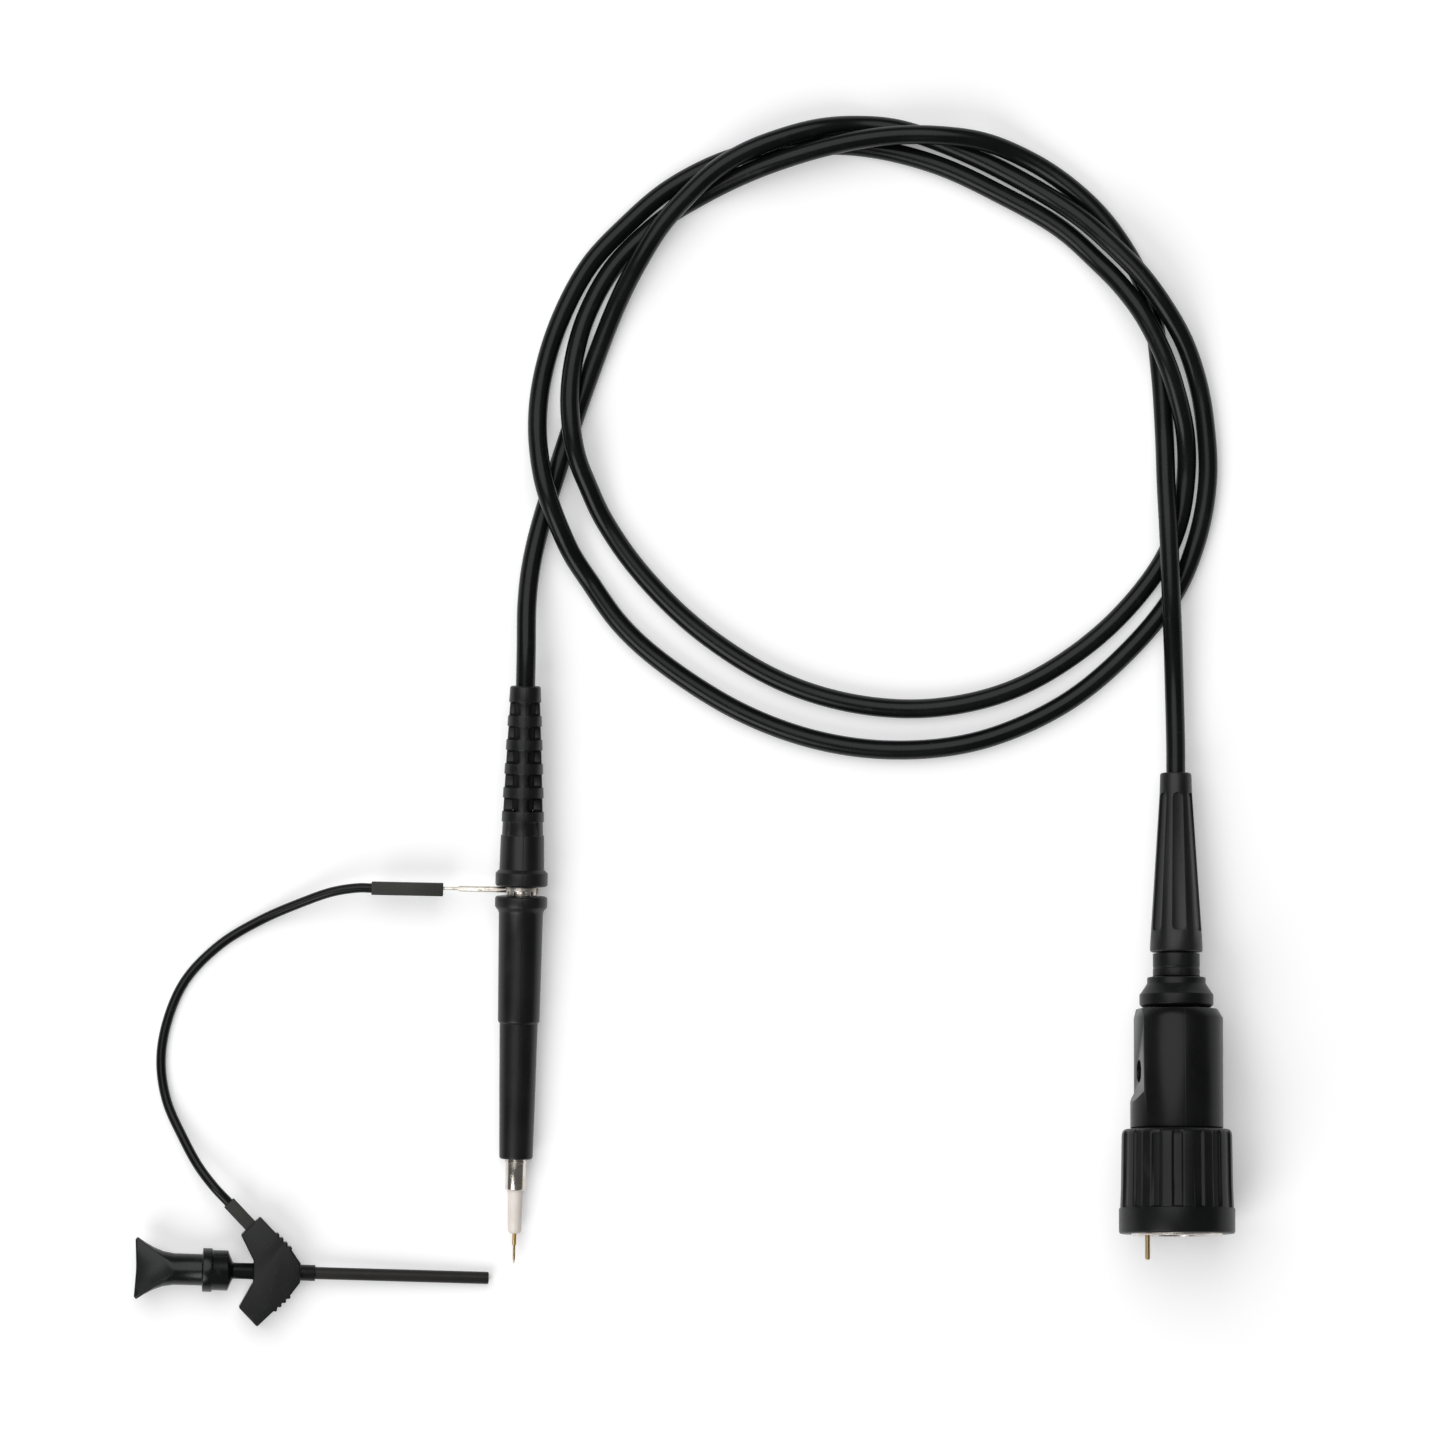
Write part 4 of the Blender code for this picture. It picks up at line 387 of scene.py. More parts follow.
# One material being made: its tree, its shader and its own place on the object
class Finish:
    def __init__(self, name, place=None):
        self.material = bpy.data.materials.new(name)
        self.material.use_nodes = True
        self.tree = self.material.node_tree
        self.shader = self.tree.nodes["Principled BSDF"]
        self.coordinates = self.node("ShaderNodeTexCoord")["Object"]
        if place:
            back = place.inverted()
            self.coordinates = self.node(
                "ShaderNodeMapping", {"vector_type": "POINT"},
                {"Vector": self.coordinates, "Location": back.translation,
                 "Rotation": back.to_euler()})["Vector"]
        finishes[name] = self.material

    def node(self, kind, settings=None, inputs=None):
        made = self.tree.nodes.new(kind)
        for key, value in (settings or {}).items():
            setattr(made, key, value)
        for key, value in (inputs or {}).items():
            fillSlot(self.tree, made.inputs[key], value)
        return made.outputs

    def noise(self, size, detail=2.0, stretch=(1.0, 1.0, 1.0), rough=0.5):
        # size is the width of a feature in millimetres
        vector = self.node("ShaderNodeVectorMath", {"operation": "MULTIPLY"},
                           {0: self.coordinates, 1: stretch})["Vector"]
        out = self.node("ShaderNodeTexNoise", None,
                        {"Vector": vector, "Scale": 1000.0 / size, "Detail": detail,
                         "Roughness": rough})["Fac"]
        return Mask(self.tree, out)

    def axes(self):
        # the three coordinates in millimetres
        split = self.node("ShaderNodeSeparateXYZ", None, {"Vector": self.coordinates})
        return [Mask(self.tree, split[axis]) * 1000.0 for axis in "XYZ"]

    def cells(self, size):
        out = self.node("ShaderNodeTexVoronoi", {"feature": "F1"},
                        {"Vector": self.coordinates, "Scale": 1000.0 / size})["Distance"]
        return Mask(self.tree, out)

    def step(self, value, low, high):
        # 0 below low, 1 above high
        node = self.node("ShaderNodeMapRange", {"interpolation_type": "SMOOTHSTEP"},
                         {"Value": value, "From Min": low, "From Max": high})
        return Mask(self.tree, node["Result"])

    def patches(self, low, high, **noise):
        # soft-edged patches where the noise is high
        return self.step(self.noise(**noise), low, high)

    def mix(self, factor, first, second):
        # sockets 6 and 7 of a Mix node take its colours, and socket 2 gives the blend
        return self.node("ShaderNodeMix", {"data_type": "RGBA"},
                         {0: factor, 6: first, 7: second})[2]

    def feed(self, name, value):
        fillSlot(self.tree, self.shader.inputs[name], value)

    def bump(self, height, distance):
        # distance is in millimetres
        normal = self.node("ShaderNodeBump", None,
                           {"Height": height, "Distance": distance * mm,
                            "Strength": 1.0})["Normal"]
        self.feed("Normal", normal)


# Moulded plastic: a faint cloud in the colour, scuffs, fine spark-eroded grain, some dust
plasticSettings = {
    "cloud": {"size": 9.0, "detail": 3.0},
    "cloudEdge": (0.3, 0.7),
    "cloudRough": 0.16,
    "grain": {"size": 0.22, "detail": 2.0},
    "scuffs": {"size": 2.6, "detail": 5.0, "stretch": (1.0, 1.0, 0.35), "rough": 0.65,
               "low": 0.56, "high": 0.74},
    "scuffPaler": (1.7, 0.003),
    "scuffTint": 0.35,
    "scuffRough": 0.08,
    "reliefShares": (0.7, 0.3),
    "dustSize": 0.8,
    "dustEdge": (0.05, 0.12),
    "dusty": {"size": 5.0, "detail": 2.0, "low": 0.45, "high": 0.62},
    "dustColour": (0.16, 0.155, 0.145),
    "coatRough": 0.35,
    "seamEdge": (0.03, 0.11),
    "seamRelief": 2.5,
    "seamTint": 0.6,
}


def plastic(name, colour, paler, rough, grain, place=None, dust=0.0, sheen=0.0, shine=0.3,
            seam=None):
    look = plasticSettings
    made = Finish(name, place)
    cloud = made.noise(**look["cloud"])
    scuff = made.patches(**look["scuffs"])
    gain, lift = look["scuffPaler"]
    worn = tuple(min(1.0, channel * gain + lift) for channel in paler)
    base = made.mix(made.step(cloud, *look["cloudEdge"]), colour, paler)
    base = made.mix(scuff * look["scuffTint"], base, worn)
    grainShare, scuffShare = look["reliefShares"]
    relief = made.noise(**look["grain"]) * grainShare + scuff * scuffShare
    if dust:
        specks = 1.0 - made.step(made.cells(look["dustSize"]), *look["dustEdge"])
        here = made.patches(**look["dusty"])
        base = made.mix(specks * here * dust, base, look["dustColour"])
    if seam is not None:
        # the flash line of the mould, a thin ridge along the piece
        ridge = 1.0 - made.step(abs(made.axes()[0] - seam), *look["seamEdge"])
        relief = relief + ridge * look["seamRelief"]
        base = made.mix(ridge * look["seamTint"], base, worn)
    if sheen:
        made.feed("Coat Weight", sheen)
        made.feed("Coat Roughness", look["coatRough"])
    made.feed("Base Color", base)
    made.feed("Roughness",
              (cloud - 0.5) * look["cloudRough"] + scuff * look["scuffRough"] + rough)
    made.feed("Specular IOR Level", shine)
    made.bump(relief, grain)


# Turned and plated metal: fine rings round its axis, cloudy tarnish and small spots
metalSettings = {
    "rings": {"detail": 3.0, "stretch": (0.05, 0.05, 1.0), "rough": 0.6},
    "ringRough": 0.2,
    "ringDepth": 0.012,
    "cloud": {"size": 3.2, "detail": 4.0, "low": 0.42, "high": 0.72},
    "cloudTint": 0.45,
    "cloudRough": 0.14,
    "spots": {"size": 0.5, "detail": 3.0, "rough": 0.7, "low": 0.62, "high": 0.74},
    "spotDarker": 0.35,
    "spotRough": 0.15,
}


def turnedMetal(name, colour, tarnish, rough, place, ring=0.16, spots=0.25):
    look = metalSettings
    made = Finish(name, place)
    rings = made.noise(ring, **look["rings"])
    cloud = made.patches(**look["cloud"])
    speck = made.patches(**look["spots"])
    dark = tuple(channel * look["spotDarker"] for channel in tarnish)
    base = made.mix(cloud * look["cloudTint"], colour, tarnish)
    made.feed("Base Color", made.mix(speck * spots, base, dark))
    made.feed("Metallic", 1.0)
    made.feed("Roughness", rough + cloud * look["cloudRough"]
              + (rings - 0.5) * look["ringRough"] + speck * look["spotRough"])
    made.bump(rings, look["ringDepth"])


# Dull tin with dark specks where the plating is thin
tinSettings = {
    "colour": (0.74, 0.7, 0.64),
    "darker": (0.56, 0.5, 0.42),
    "speckColour": (0.13, 0.095, 0.06),
    "speckTint": 0.8,
    "cloud": {"size": 1.8, "detail": 4.0, "low": 0.4, "high": 0.7},
    "specks": {"size": 0.34, "detail": 3.0, "rough": 0.7, "low": 0.57, "high": 0.68},
    "rough": 0.34,
    "cloudRough": 0.2,
    "speckRough": 0.25,
    "relief": {"size": 0.3, "detail": 3.0},
    "speckSunk": 0.4,
    "depth": 0.03,
}


def makeTin(look):
    made = Finish("tin", headFrame)
    cloud = made.patches(**look["cloud"])
    speck = made.patches(**look["specks"])
    base = made.mix(cloud, look["colour"], look["darker"])
    made.feed("Base Color", made.mix(speck * look["speckTint"], base, look["speckColour"]))
    made.feed("Metallic", 1.0)
    made.feed("Roughness",
              cloud * look["cloudRough"] + speck * look["speckRough"] + look["rough"])
    made.bump(made.noise(**look["relief"]) - speck * look["speckSunk"], look["depth"])


# Pinkish white moulding, faintly translucent and soiled in small patches
whiteSettings = {
    "colour": (0.83, 0.77, 0.71),
    "darker": (0.78, 0.715, 0.66),
    "soilColour": (0.45, 0.37, 0.32),
    "soilTint": 0.14,
    "cloud": {"size": 4.0, "detail": 3.0, "low": 0.35, "high": 0.7},
    "soil": {"size": 0.9, "detail": 4.0, "rough": 0.65, "low": 0.56, "high": 0.72},
    "rough": 0.34,
    "cloudRough": 0.12,
    "glow": 0.12,
    "glowRadius": (0.8, 0.5, 0.4),
    "glowScale": 0.001,
    "relief": {"size": 0.4, "detail": 2.0},
    "depth": 0.012,
}


def makeInsulator(look):
    made = Finish("insulator", headFrame)
    cloud = made.patches(**look["cloud"])
    soil = made.patches(**look["soil"])
    base = made.mix(cloud, look["colour"], look["darker"])
    made.feed("Base Color", made.mix(soil * look["soilTint"], base, look["soilColour"]))
    made.feed("Roughness", cloud * look["cloudRough"] + look["rough"])
    made.feed("Subsurface Weight", look["glow"])
    made.feed("Subsurface Radius", look["glowRadius"])
    made.feed("Subsurface Scale", look["glowScale"])
    made.bump(made.noise(**look["relief"]), look["depth"])


def makeFinishes():
    # colour, paler colour, roughness and depth of grain, then what else a finish has
    plastic("softBlackHead", (0.0045, 0.005, 0.0047), (0.0075, 0.0082, 0.0077), 0.37, 0.02,
            headFrame, dust=0.3, seam=0.25)
    # a little darker and duller than the boot's black: painted shade in the boot's window
    # recesses
    plastic("boreShadeBlack", (0.0042, 0.0046, 0.0043), (0.0065, 0.0071, 0.0067), 0.5, 0.02,
            headFrame, shine=0.16)
    plastic("softBlackPlug", (0.0052, 0.0058, 0.0054), (0.0085, 0.0093, 0.0087), 0.4, 0.02,
            plugFrame, dust=0.25, shine=0.36)
    plastic("hardBlack", (0.004, 0.0046, 0.0043), (0.007, 0.0077, 0.0072), 0.36, 0.014,
            plugFrame, dust=0.2, shine=0.2)
    plastic("boxBlack", (0.0038, 0.0043, 0.004), (0.0065, 0.0071, 0.0067), 0.3, 0.012,
            boxFrame, dust=0.2, shine=0.18, seam=0.0)
    plastic("grabberBlack", (0.0045, 0.005, 0.0047), (0.008, 0.0088, 0.0084), 0.38, 0.016,
            grabberFrame, dust=0.25, shine=0.24)
    plastic("knobBlack", (0.0045, 0.005, 0.0049), (0.0085, 0.0093, 0.0091), 0.27, 0.01,
            grabberFrame, dust=0.2, shine=0.27)
    plastic("tubeBlack", (0.0125, 0.0118, 0.0112), (0.0185, 0.0172, 0.016), 0.46, 0.016,
            grabberFrame, dust=0.25, shine=0.24)
    plastic("clipSocketGrey", (0.03, 0.0315, 0.027), (0.042, 0.0435, 0.0375), 0.55, 0.022,
            headFrame, dust=0.3, shine=0.2)
    plastic("grabberSocketGrey", (0.017, 0.0166, 0.0148), (0.025, 0.0243, 0.0218), 0.5,
            0.022, grabberFrame, dust=0.3)
    plastic("cableBlack", (0.0035, 0.004, 0.004), (0.006, 0.0067, 0.0066), 0.24, 0.01,
            dust=0.15, shine=0.19)
    turnedMetal("nickelHead", (0.7, 0.66, 0.6), (0.5, 0.44, 0.36), 0.12, headFrame)
    turnedMetal("nickelPlug", (0.68, 0.64, 0.6), (0.5, 0.44, 0.38), 0.26, plugFrame)
    turnedMetal("steel", (0.52, 0.52, 0.52), (0.36, 0.35, 0.33), 0.3, headFrame)
    turnedMetal("gold", (0.6, 0.4, 0.14), (0.4, 0.25, 0.09), 0.24, headFrame, ring=0.1,
                spots=0.2)
    turnedMetal("brass", (0.46, 0.34, 0.17), (0.3, 0.21, 0.1), 0.34, plugFrame, ring=0.14)
    makeTin(tinSettings)
    makeInsulator(whiteSettings)
    plastic("ceramic", (0.72, 0.71, 0.67), (0.8, 0.79, 0.76), 0.5, 0.01)
    plastic("boardGreen", (0.02, 0.1, 0.035), (0.035, 0.14, 0.05), 0.4, 0.01, sheen=0.4)
    plastic("partTan", (0.42, 0.3, 0.17), (0.52, 0.4, 0.25), 0.35, 0.01, sheen=0.5)
    plastic("silicone", (0.34, 0.09, 0.055), (0.42, 0.13, 0.08), 0.6, 0.02)


makeFinishes()
print("finishes made:", len(finishes))


# Shapes
def keepMesh(name, shape):
    mesh = bpy.data.meshes.new(name)
    shape.to_mesh(mesh)
    shape.free()
    return addObject(name, mesh)


def dress(item, finish, body, node):
    item.data.materials.clear()
    item.data.materials.append(finishes[finish])
    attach(item, body)
    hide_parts(node)


def roundEdges(item, width, segments=2, sharpFrom=meshSettings["sharpFrom"]):
    # rounds the edges of a piece a little and shades it
    item.data.shade_smooth()
    if width:
        bevel = item.modifiers.new("bevel", "BEVEL")
        bevel.width = width * mm
        bevel.segments = segments
        bevel.profile = 0.5
        bevel.material = -1
        bevel.limit_method = "ANGLE"
        bevel.angle_limit = math.radians(meshSettings["bevelFrom"])
        bevel.use_clamp_overlap = True
        mesh = evaluatedMesh(item)
        item.modifiers.clear()
        item.data = mesh
    shadeMesh(item.data, sharpFrom)


def fromNode(name, node, finish, slot, width=0.0):
    # a node whose shape is right: its own solid, cleaned, with softened edges
    source = frame["nodes"][node]
    item = addObject(name, source.data.copy())
    cleanMesh(item.data, meshSettings["flat"])
    roundEdges(item, width)
    dress(item, finish, source["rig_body"], node)


def spinRound(shape, parts, turn, steps):
    # sweeps parts of a shape round Z, and closes a full turn
    bmesh.ops.spin(shape, geom=parts, cent=(0.0, 0.0, 0.0), axis=(0.0, 0.0, 1.0),
                   angle=math.radians(turn), steps=steps, use_merge=turn == fullTurn,
                   use_duplicate=False)


def spunBand(shape, inner, outer, low, high, start, turn, steps):
    # a rectangle between two radii and two heights, swept round Z from one angle
    radius = Vector(((inner + outer) / 2.0, 0.0, (low + high) / 2.0)) * mm
    stretch = Matrix.Diagonal(((outer - inner) * mm, (high - low) * mm, 1.0, 1.0))
    upright = Matrix.Rotation(math.radians(90.0), 4, "X")
    place = Matrix.Rotation(math.radians(start), 4, "Z") @ Matrix.Translation(radius)
    made = bmesh.ops.create_grid(shape, x_segments=1, y_segments=1, size=0.5,
                                 matrix=place @ upright @ stretch)
    verts = made["verts"]
    faces = list({face for vert in verts for face in vert.link_faces})
    edges = list({edge for face in faces for edge in face.edges})
    spinRound(shape, verts + edges + faces, turn, steps)


def spinOutline(shape, outline, steps):
    # an outline of (radius, height), closed through the bore where it starts off the axis
    points = [shape.verts.new((radius * mm, 0.0, height * mm)) for radius, height in outline]
    pairs = list(zip(points, points[1:]))
    if outline[0][0] > 0.0:
        pairs.append((points[-1], points[0]))
    edges = [shape.edges.new(pair) for pair in pairs]
    spinRound(shape, points + edges, fullTurn, steps)


def finishShape(name, shape, place, width=0.0, **shading):
    # welds the shape, turns its faces outwards and puts it at its place in the mesh
    weld(shape)
    bmesh.ops.recalc_face_normals(shape, faces=shape.faces)
    bmesh.ops.transform(shape, matrix=place, verts=shape.verts)
    item = keepMesh(name, shape)
    roundEdges(item, width, **shading)
    return item


# Ground clip: an open band of sheet with fingers towards the tip
clipSettings = {
    "inner": 2.7,
    "outer": 3.05,
    "top": 0.82,
    "bottom": -0.82,
    "opening": 50.0,
    "openingAt": 90.0,
    "bandSteps": 56,
    "fingers": 9,
    "fingerShare": 0.66,
    "fingerThinner": 0.03,
    "fingerLap": 0.05,
    "fingerSteps": 5,
    "tab": (0.4, 0.9, 1.0),
    "tabSunk": 0.1,
    "tabRaised": 0.1,
    "armLift": 0.26,
    "soft": 0.05,
}


def makeClipBand(settings):
    shape = bmesh.new()
    start = settings["openingAt"] + settings["opening"] / 2.0
    turn = fullTurn - settings["opening"]
    inner, outer = settings["inner"], settings["outer"]
    spunBand(shape, inner, outer, 0.0, settings["top"], start, turn, settings["bandSteps"])
    pitch = turn / settings["fingers"]
    width = pitch * settings["fingerShare"]
    thinner = settings["fingerThinner"]
    for finger in range(settings["fingers"]):
        spunBand(shape, inner + thinner, outer - thinner, settings["bottom"],
                 settings["fingerLap"], start + finger * pitch, width,
                 settings["fingerSteps"])
    long, wide, tall = settings["tab"]
    middle = Vector((outer + long / 2.0 - settings["tabSunk"], 0.0, settings["tabRaised"]))
    size = Matrix.Diagonal((long * mm, wide * mm, tall * mm, 1.0))
    bmesh.ops.create_cube(shape, size=1.0, matrix=Matrix.Translation(middle * mm) @ size)
    band = finishShape("groundClip", shape, headFrame, settings["soft"])
    dress(band, "tin", "ground_lead", "ground_clip")


makeClipBand(clipSettings)
print("ground clip's band made")


# Turned pieces: an outline of (radius, height) and the frame that it stands in
def turnPiece(settings):
    shape = bmesh.new()
    spinOutline(shape, settings["outline"], settings["steps"])
    item = finishShape(settings["name"], shape, settings["place"], settings.get("soft", 0.0),
                       segments=3)
    dress(item, settings["finish"], settings["body"], settings["node"])


alongX = Matrix.Rotation(math.radians(90.0), 4, "Y")
againstX = Matrix.Rotation(math.radians(-90.0), 4, "Y")
clipArmSettings = {
    "name": "groundClipArm", "node": "ground_clip", "body": "ground_lead",
    "finish": "tin", "slot": "tin", "steps": 24,
    "place": shifted(headFrame, (0.0, 0.0, clipSettings["armLift"])) @ againstX,
    "outline": [
        (0.0, 2.8), (0.57, 2.8), (0.57, 11.958), (0.4902, 12.1632), (0.465, 12.3),
        (0.31, 12.3), (0.31, 20.7), (0.1, 21.1), (0.0, 21.1)],
}
barrelSettings = {
    "name": "probeBarrel", "node": "probe_barrel", "body": "probe_and_plug",
    "finish": "softBlackHead", "slot": "soft_black", "steps": 72, "soft": 0.22,
    "place": headFrame,
    "outline": [
        (4.85, -0.98), (5.12, -1.25), (5.12, -2.85), (4.95, -3.25), (4.5, -3.75),
        (4.32, -4.3), (4.26, -10.0), (4.15, -20.0), (4.08, -25.3), (4.05, -25.5),
        (3.74, -25.9), (3.72, -27.0), (3.55, -38.0), (3.28, -52.18), (3.02, -52.48),
        (2.2, -52.48), (2.2, -22.5), (2.85, -21.5), (2.85, -0.98)],
}
sleeveSettings = {
    "name": "groundSleeve", "node": "ground_sleeve", "body": "probe_and_plug",
    "finish": "nickelHead", "slot": "nickel", "steps": 64,
    "place": headFrame,
    "outline": [
        (2.55, 8.3), (2.55, -21.5), (2.05, -22.5), (2.05, -52.75), (2.12, -52.8),
        (2.12, -53.25), (2.03, -53.32), (2.03, -58.3), (1.97, -58.48), (1.85, -58.58),
        (1.7, -58.5), (1.7, -22.5), (2.2, -21.5), (2.2, 8.3)],
}
insulatorSettings = {
    "name": "tipInsulator", "node": "tip_insulator", "body": "probe_and_plug",
    "finish": "insulator", "slot": "white_plastic", "steps": 48,
    "place": headFrame,
    "outline": [
        (1.4, -24.2), (1.4, -58.4), (1.62, -58.6), (1.62, -58.88), (1.46, -58.9),
        (1.44, -60.5), (1.4, -63.5), (1.34, -66.3), (1.2, -66.8), (0.98, -67.02),
        (0.75, -67.08), (0.51, -67.08), (0.51, -24.2)],
}
tipTubeSettings = {
    "name": "tipTube", "node": "tip_tube", "body": "probe_and_plug", "finish": "gold",
    "slot": "gold", "steps": 28,
    "place": headFrame,
    "outline": [
        (0.0, -50.38), (0.41, -50.38), (0.41, -69.25), (0.38, -69.36), (0.3, -69.38),
        (0.3, -52.38), (0.0, -52.38)],
}
needleSettings = {
    "name": "tipNeedle", "node": "tip_needle", "body": "tip", "finish": "gold",
    "slot": "gold", "steps": 24,
    "place": headFrame,
    "outline": [
        (0.0, -60.38), (0.24, -60.38), (0.24, -72.0), (0.19, -72.3), (0.08, -72.85),
        (0.03, -73.05), (0.0, -73.08)],
}
readoutRadius = 7.9
readoutAngle = math.radians(139.0)
readoutSettings = {
    "name": "readoutPin", "node": "readout_pin", "body": "readout", "finish": "brass",
    "slot": "brass", "steps": 28,
    "place": shifted(plugFrame, (readoutRadius * math.cos(readoutAngle),
                                 readoutRadius * math.sin(readoutAngle), 0.0)),
    "outline": [
        (0.0, 5.2), (0.26, 5.18), (0.42, 5.08), (0.5, 4.85), (0.5, -12.0), (0.0, -12.0)],
}
nutSettings = {
    "name": "rearNut", "node": "rear_nut", "body": "probe_and_plug", "finish": "hardBlack",
    "slot": "hard_black", "steps": 72, "soft": 0.12,
    "place": plugFrame,
    "outline": [
        (6.7, -44.2), (7.24, -44.75), (7.24, -46.7), (6.95, -47.0), (5.85, -48.65),
        (5.73, -48.9), (5.73, -49.9), (5.5, -50.1), (3.9, -50.1), (3.9, -44.2)],
}
glandSettings = {
    "name": "cableGland", "node": "cable_gland", "body": "probe_and_plug",
    "finish": "hardBlack", "slot": "hard_black", "steps": 64, "soft": 0.08,
    "place": plugFrame,
    "outline": [
        (3.6, -41.5), (3.6, -50.25), (4.6, -50.25), (4.6, -51.7), (4.5, -51.8),
        (4.5, -52.0), (4.6, -52.1), (4.6, -54.7), (3.6, -54.7), (3.6, -62.2), (2.2, -62.2),
        (2.2, -49.4), (1.2, -49.4), (1.2, -41.5)],
}
grabberTubeSettings = {
    "name": "grabberTube", "node": "grabber_tube", "body": "ground_lead",
    "finish": "tubeBlack", "slot": "grabber_black", "steps": 40,
    "place": grabberFrame @ alongX,
    "outline": [
        (0.62, 46.1), (1.05, 46.1), (1.16, 46.0), (1.2, 45.8), (1.2, 12.11), (0.9, 12.11),
        (0.9, 9.6), (0.55, 9.6), (0.55, 45.9)],
}
for chosen in (clipArmSettings, barrelSettings, sleeveSettings, insulatorSettings,
               tipTubeSettings, needleSettings, readoutSettings, nutSettings,
               glandSettings, grabberTubeSettings):
    turnPiece(chosen)
print("turned pieces made")


# Lock ring: a smooth band in front and wide flat-bottomed flutes behind it
lockSettings = {
    "steps": 320,
    "outline": [
        (9.3, 0.0), (10.85, 0.0), (11.2, -0.12), (11.35, -0.45), (11.35, -4.95),
        (11.16, -5.05), (11.15, -5.25), (11.0, -9.0), (10.92, -14.0), (10.84, -19.0),
        (10.8, -19.5), (10.62, -19.95), (10.3, -20.3), (10.0, -20.4), (9.3, -20.4)],
    "flutes": 16,
    "fluteFront": -5.15,
    "fluteRear": -19.6,
    "fluteDepth": 0.42,
    "fluteHalf": 4.9,
    "fluteWall": 1.4,
    "fluteInner": 10.0,
    "phase": 91.5,
    "sharpFrom": 55.0,
}


def makeLockRing(settings):
    shape = bmesh.new()
    spinOutline(shape, settings["outline"], settings["steps"])
    pitch = fullTurn / settings["flutes"]
    for vert in shape.verts:
        x, y, z = vert.co / mm
        radius = math.hypot(x, y)
        fluted = settings["fluteRear"] < z < settings["fluteFront"]
        if fluted and radius > settings["fluteInner"]:
            angle = math.degrees(math.atan2(y, x)) - settings["phase"]
            away = abs((angle + pitch / 2.0) % pitch - pitch / 2.0)
            share = settings["fluteHalf"] + settings["fluteWall"] / 2.0 - away
            share = min(1.0, max(0.0, share / settings["fluteWall"]))
            shrink = 1.0 - settings["fluteDepth"] * share / radius
            vert.co.x *= shrink
            vert.co.y *= shrink
    ring = finishShape("lockRing", shape, plugFrame, sharpFrom=settings["sharpFrom"])
    dress(ring, "hardBlack", "lock", "lock_ring")


makeLockRing(lockSettings)
print("lock ring made")


# Inner wall of the flex boot, close round the cable behind the windows
linerSettings = {"inner": 1.88, "outer": 2.215, "bottom": 16.0, "top": 39.4, "steps": 40}


def makeLiner(settings):
    shape = bmesh.new()
    spunBand(shape, settings["inner"], settings["outer"], settings["bottom"],
             settings["top"], 0.0, fullTurn, settings["steps"])
    liner = finishShape("bootLiner", shape, headFrame)
    # the liner's darker, duller black is painted shade for the recesses behind the windows
    dress(liner, "boreShadeBlack", "probe_and_plug", "probe_boot")


makeLiner(linerSettings)
print("boot's liner made")


# Nodes whose shape is right: name, node, finish, slot and the rounding of the edges
nodePieces = [
    ("crimpFerrule", "crimp_ferrule", "steel", "steel", 0.0),
    ("tipSpring", "tip_spring", "steel", "steel", 0.0),
    ("inputLead", "input_lead", "steel", "steel", 0.0),
    ("dividerBoard", "divider_board", "ceramic", "ceramic", 0.0),
    ("dividerResistor", "divider_resistor", "partTan", "part_tan", 0.0),
    ("dividerCapacitor", "divider_capacitor", "partTan", "part_tan", 0.0),
    ("probeBoot", "probe_boot", "softBlackHead", "soft_black", 0.1),
    ("clipSocket", "clip_socket", "clipSocketGrey", "socket_grey", 0.06),
    ("clipSocketContact", "clip_socket_contact", "brass", "brass", 0.0),
    ("grabberSocket", "grabber_socket", "grabberSocketGrey", "socket_grey", 0.06),
    ("grabberSocketContact", "grabber_socket_contact", "brass", "brass", 0.0),
    ("grabberPin", "grabber_pin", "brass", "brass", 0.0),
    ("grabberBody", "grabber_body", "grabberBlack", "grabber_black", 0.12),
    ("grabberSpring", "grabber_spring", "steel", "steel", 0.0),
    ("grabberKnob", "grabber_knob", "knobBlack", "grabber_black", 0.15),
    ("hookWire", "hook_wire", "steel", "steel", 0.0),
    ("bayonetRing", "bayonet_ring", "nickelPlug", "nickel", 0.05),
    ("ringKeeper", "ring_keeper", "steel", "steel", 0.0),
    ("ringSpring", "ring_spring", "steel", "steel", 0.0),
    ("plugBody", "plug_body", "nickelPlug", "nickel", 0.0),
    ("plugInsulator", "plug_insulator", "insulator", "white_plastic", 0.0),
    ("centrePin", "centre_pin", "gold", "gold", 0.0),
    ("plugGasket", "plug_gasket", "silicone", "silicone", 0.0),
    ("plugNut", "plug_nut", "nickelPlug", "nickel", 0.0),
    ("readoutBarrel", "readout_barrel", "brass", "brass", 0.0),
    ("readoutSpring", "readout_spring", "steel", "steel", 0.0),
    ("boxHousing", "box_housing", "boxBlack", "hard_black", 0.1),
    ("circuitBoard", "circuit_board", "boardGreen", "board_green", 0.0),
    ("trimmerBase", "trimmer_base", "partTan", "part_tan", 0.0),
    ("trimmerRotor", "trimmer_rotor", "brass", "brass", 0.05),
    ("boardResistor", "board_resistor", "partTan", "part_tan", 0.0),
    ("plugBoot", "plug_boot", "softBlackPlug", "soft_black", 0.12),
]
for entry in nodePieces:
    fromNode(*entry)
print("pieces made:", len(nodePieces))


# Flex boot: the ribs above and below are raised until they lie flush with the bars
ribSettings = {
    "rows": (10.93, 37.08),
    "top": cableSettings["bootTop"],
    "foot": 4.28,
    "thin": 3.0,
    "swell": 1.4,
    "proud": 0.22,
    "below": 0.396,
    "half": 0.75,
    "ease": 0.3,
}


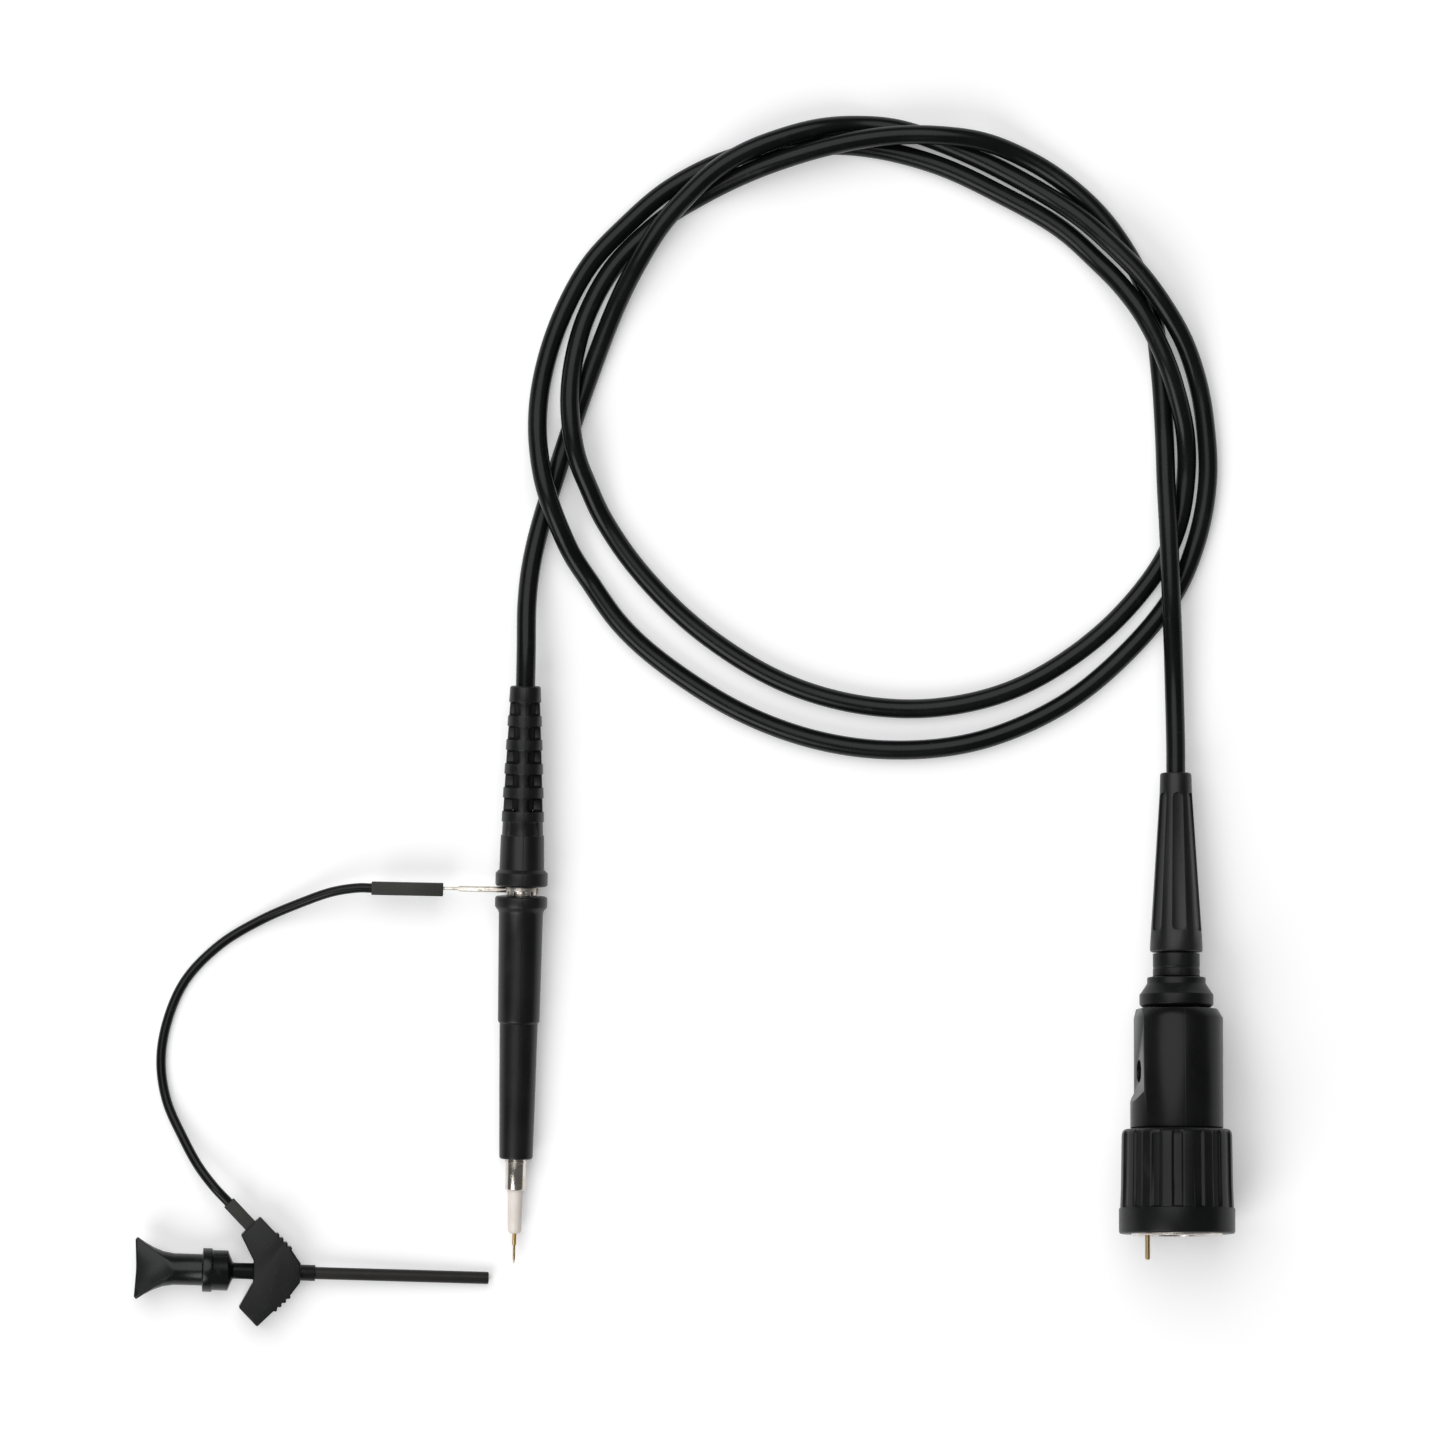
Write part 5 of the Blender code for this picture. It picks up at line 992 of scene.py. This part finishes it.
def raiseRibs(name, settings):
    mesh = bpy.data.objects[name].data
    back = headFrame.inverted()
    low, high = settings["rows"]
    proud = settings["proud"]
    for vert in mesh.vertices:
        x, y, z = (back @ vert.co) / mm
        if not low < z < high:
            continue
        radius = math.hypot(x, y)
        # the bars' radius grows half evenly and half along a sine towards the foot
        share = (settings["top"] - z) / (settings["top"] - settings["foot"])
        bar = settings["thin"] + settings["swell"] * (
            0.5 * share + 0.5 * math.sin(share * math.pi / 2.0))
        near = (settings["half"] + settings["ease"] - abs(x)) / settings["ease"]
        if near > 0.0 and bar - settings["below"] < radius < bar:
            grown = min(bar, radius + proud * min(1.0, near)) / radius
            vert.co = headFrame @ (Vector((x * grown, y * grown, z)) * mm)
    shadeMesh(mesh, meshSettings["sharpFrom"])


raiseRibs("probeBoot", ribSettings)
print("boot's ribs raised")


# Springs: the joint that presses each and the length of its travel; each gets a mesh of its
# own
springSettings = {
    "tipSpring": ("tip_press", 1.2),
    "readoutSpring": ("readout_press", 2.5),
    "grabberSpring": ("plunger_press", 3.5),
}


def pressSprings(settings):
    for name, (joint, travel) in settings.items():
        spring = bpy.data.objects[name]
        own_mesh(spring)


pressSprings(springSettings)


# Cords: both wear the same black sheath
def dressCords():
    for cord in (mainCable, groundLead):
        cord.data.materials.append(finishes["cableBlack"])
    cableExit = Vector(placed(headFrame, (0.0, 0.0, cableSettings["headStart"]))) * mm
    leadExit = Vector(placed(clipSocketFrame, (-leadSettings["socketLength"], 0.0, 0.0))) * mm


dressCords()
print("cords dressed")


# Bench, lamps and world: the lamps' sizes and places are in metres
benchSettings = {
    "size": 9.0,
    "below": 0.02,
    "colour": (0.86, 0.86, 0.87),
    "rough": 0.9,
    "shine": 0.1,
    "seen": 0.25,
}
lampSettings = {
    "over": {"place": (-0.5, 1.22, 2.36), "size": 3.3, "power": 58.0},
    "low": {"place": (-1.2, -1.65, 1.8), "size": 1.9, "power": 37.0},
    "aim": (0.0, 0.04, 0.0),
    "world": 0.12,
}


def makeBench(settings):
    shape = bmesh.new()
    bmesh.ops.create_grid(shape, x_segments=1, y_segments=1, size=settings["size"] / 2.0)
    bench = keepMesh("bench", shape)
    bench.location.z = -settings["below"] * mm
    made = Finish("bench")
    # the camera and reflections see the bench glow, and it gives the pieces no light
    path = made.node("ShaderNodeLightPath")
    camera, glossy, through = [Mask(made.tree, path[ray]) for ray in
                               ("Is Camera Ray", "Is Glossy Ray", "Is Transmission Ray")]
    glow = made.mix(camera + glossy + through, (0.0, 0.0, 0.0), (settings["seen"],) * 3)
    made.feed("Base Color", settings["colour"])
    made.feed("Roughness", settings["rough"])
    made.feed("Specular IOR Level", settings["shine"])
    made.feed("Emission Color", glow)
    made.feed("Emission Strength", 1.0)
    bench.data.materials.append(made.material)


def makeLamps(settings):
    for name in ("over", "low"):
        chosen = settings[name]
        data = bpy.data.lights.new(name, "AREA")
        data.shape = "DISK"
        data.size = chosen["size"]
        data.energy = chosen["power"]
        lamp = addObject(name, data)
        lamp.location = chosen["place"]
        ray = Vector(settings["aim"]) - lamp.location
        lamp.rotation_euler = ray.to_track_quat("-Z", "Y").to_euler()
    world = bpy.data.worlds.new("world")
    bpy.context.scene.world = world
    world.use_nodes = True
    sky = world.node_tree.nodes["Background"]
    sky.inputs["Color"].default_value = (1.0, 1.0, 1.0, 1.0)
    sky.inputs["Strength"].default_value = settings["world"]


makeBench(benchSettings)
makeLamps(lampSettings)
print("bench and lamps placed")
bpy.context.scene.view_settings.view_transform = "Standard"

bpy.context.view_layer.update()
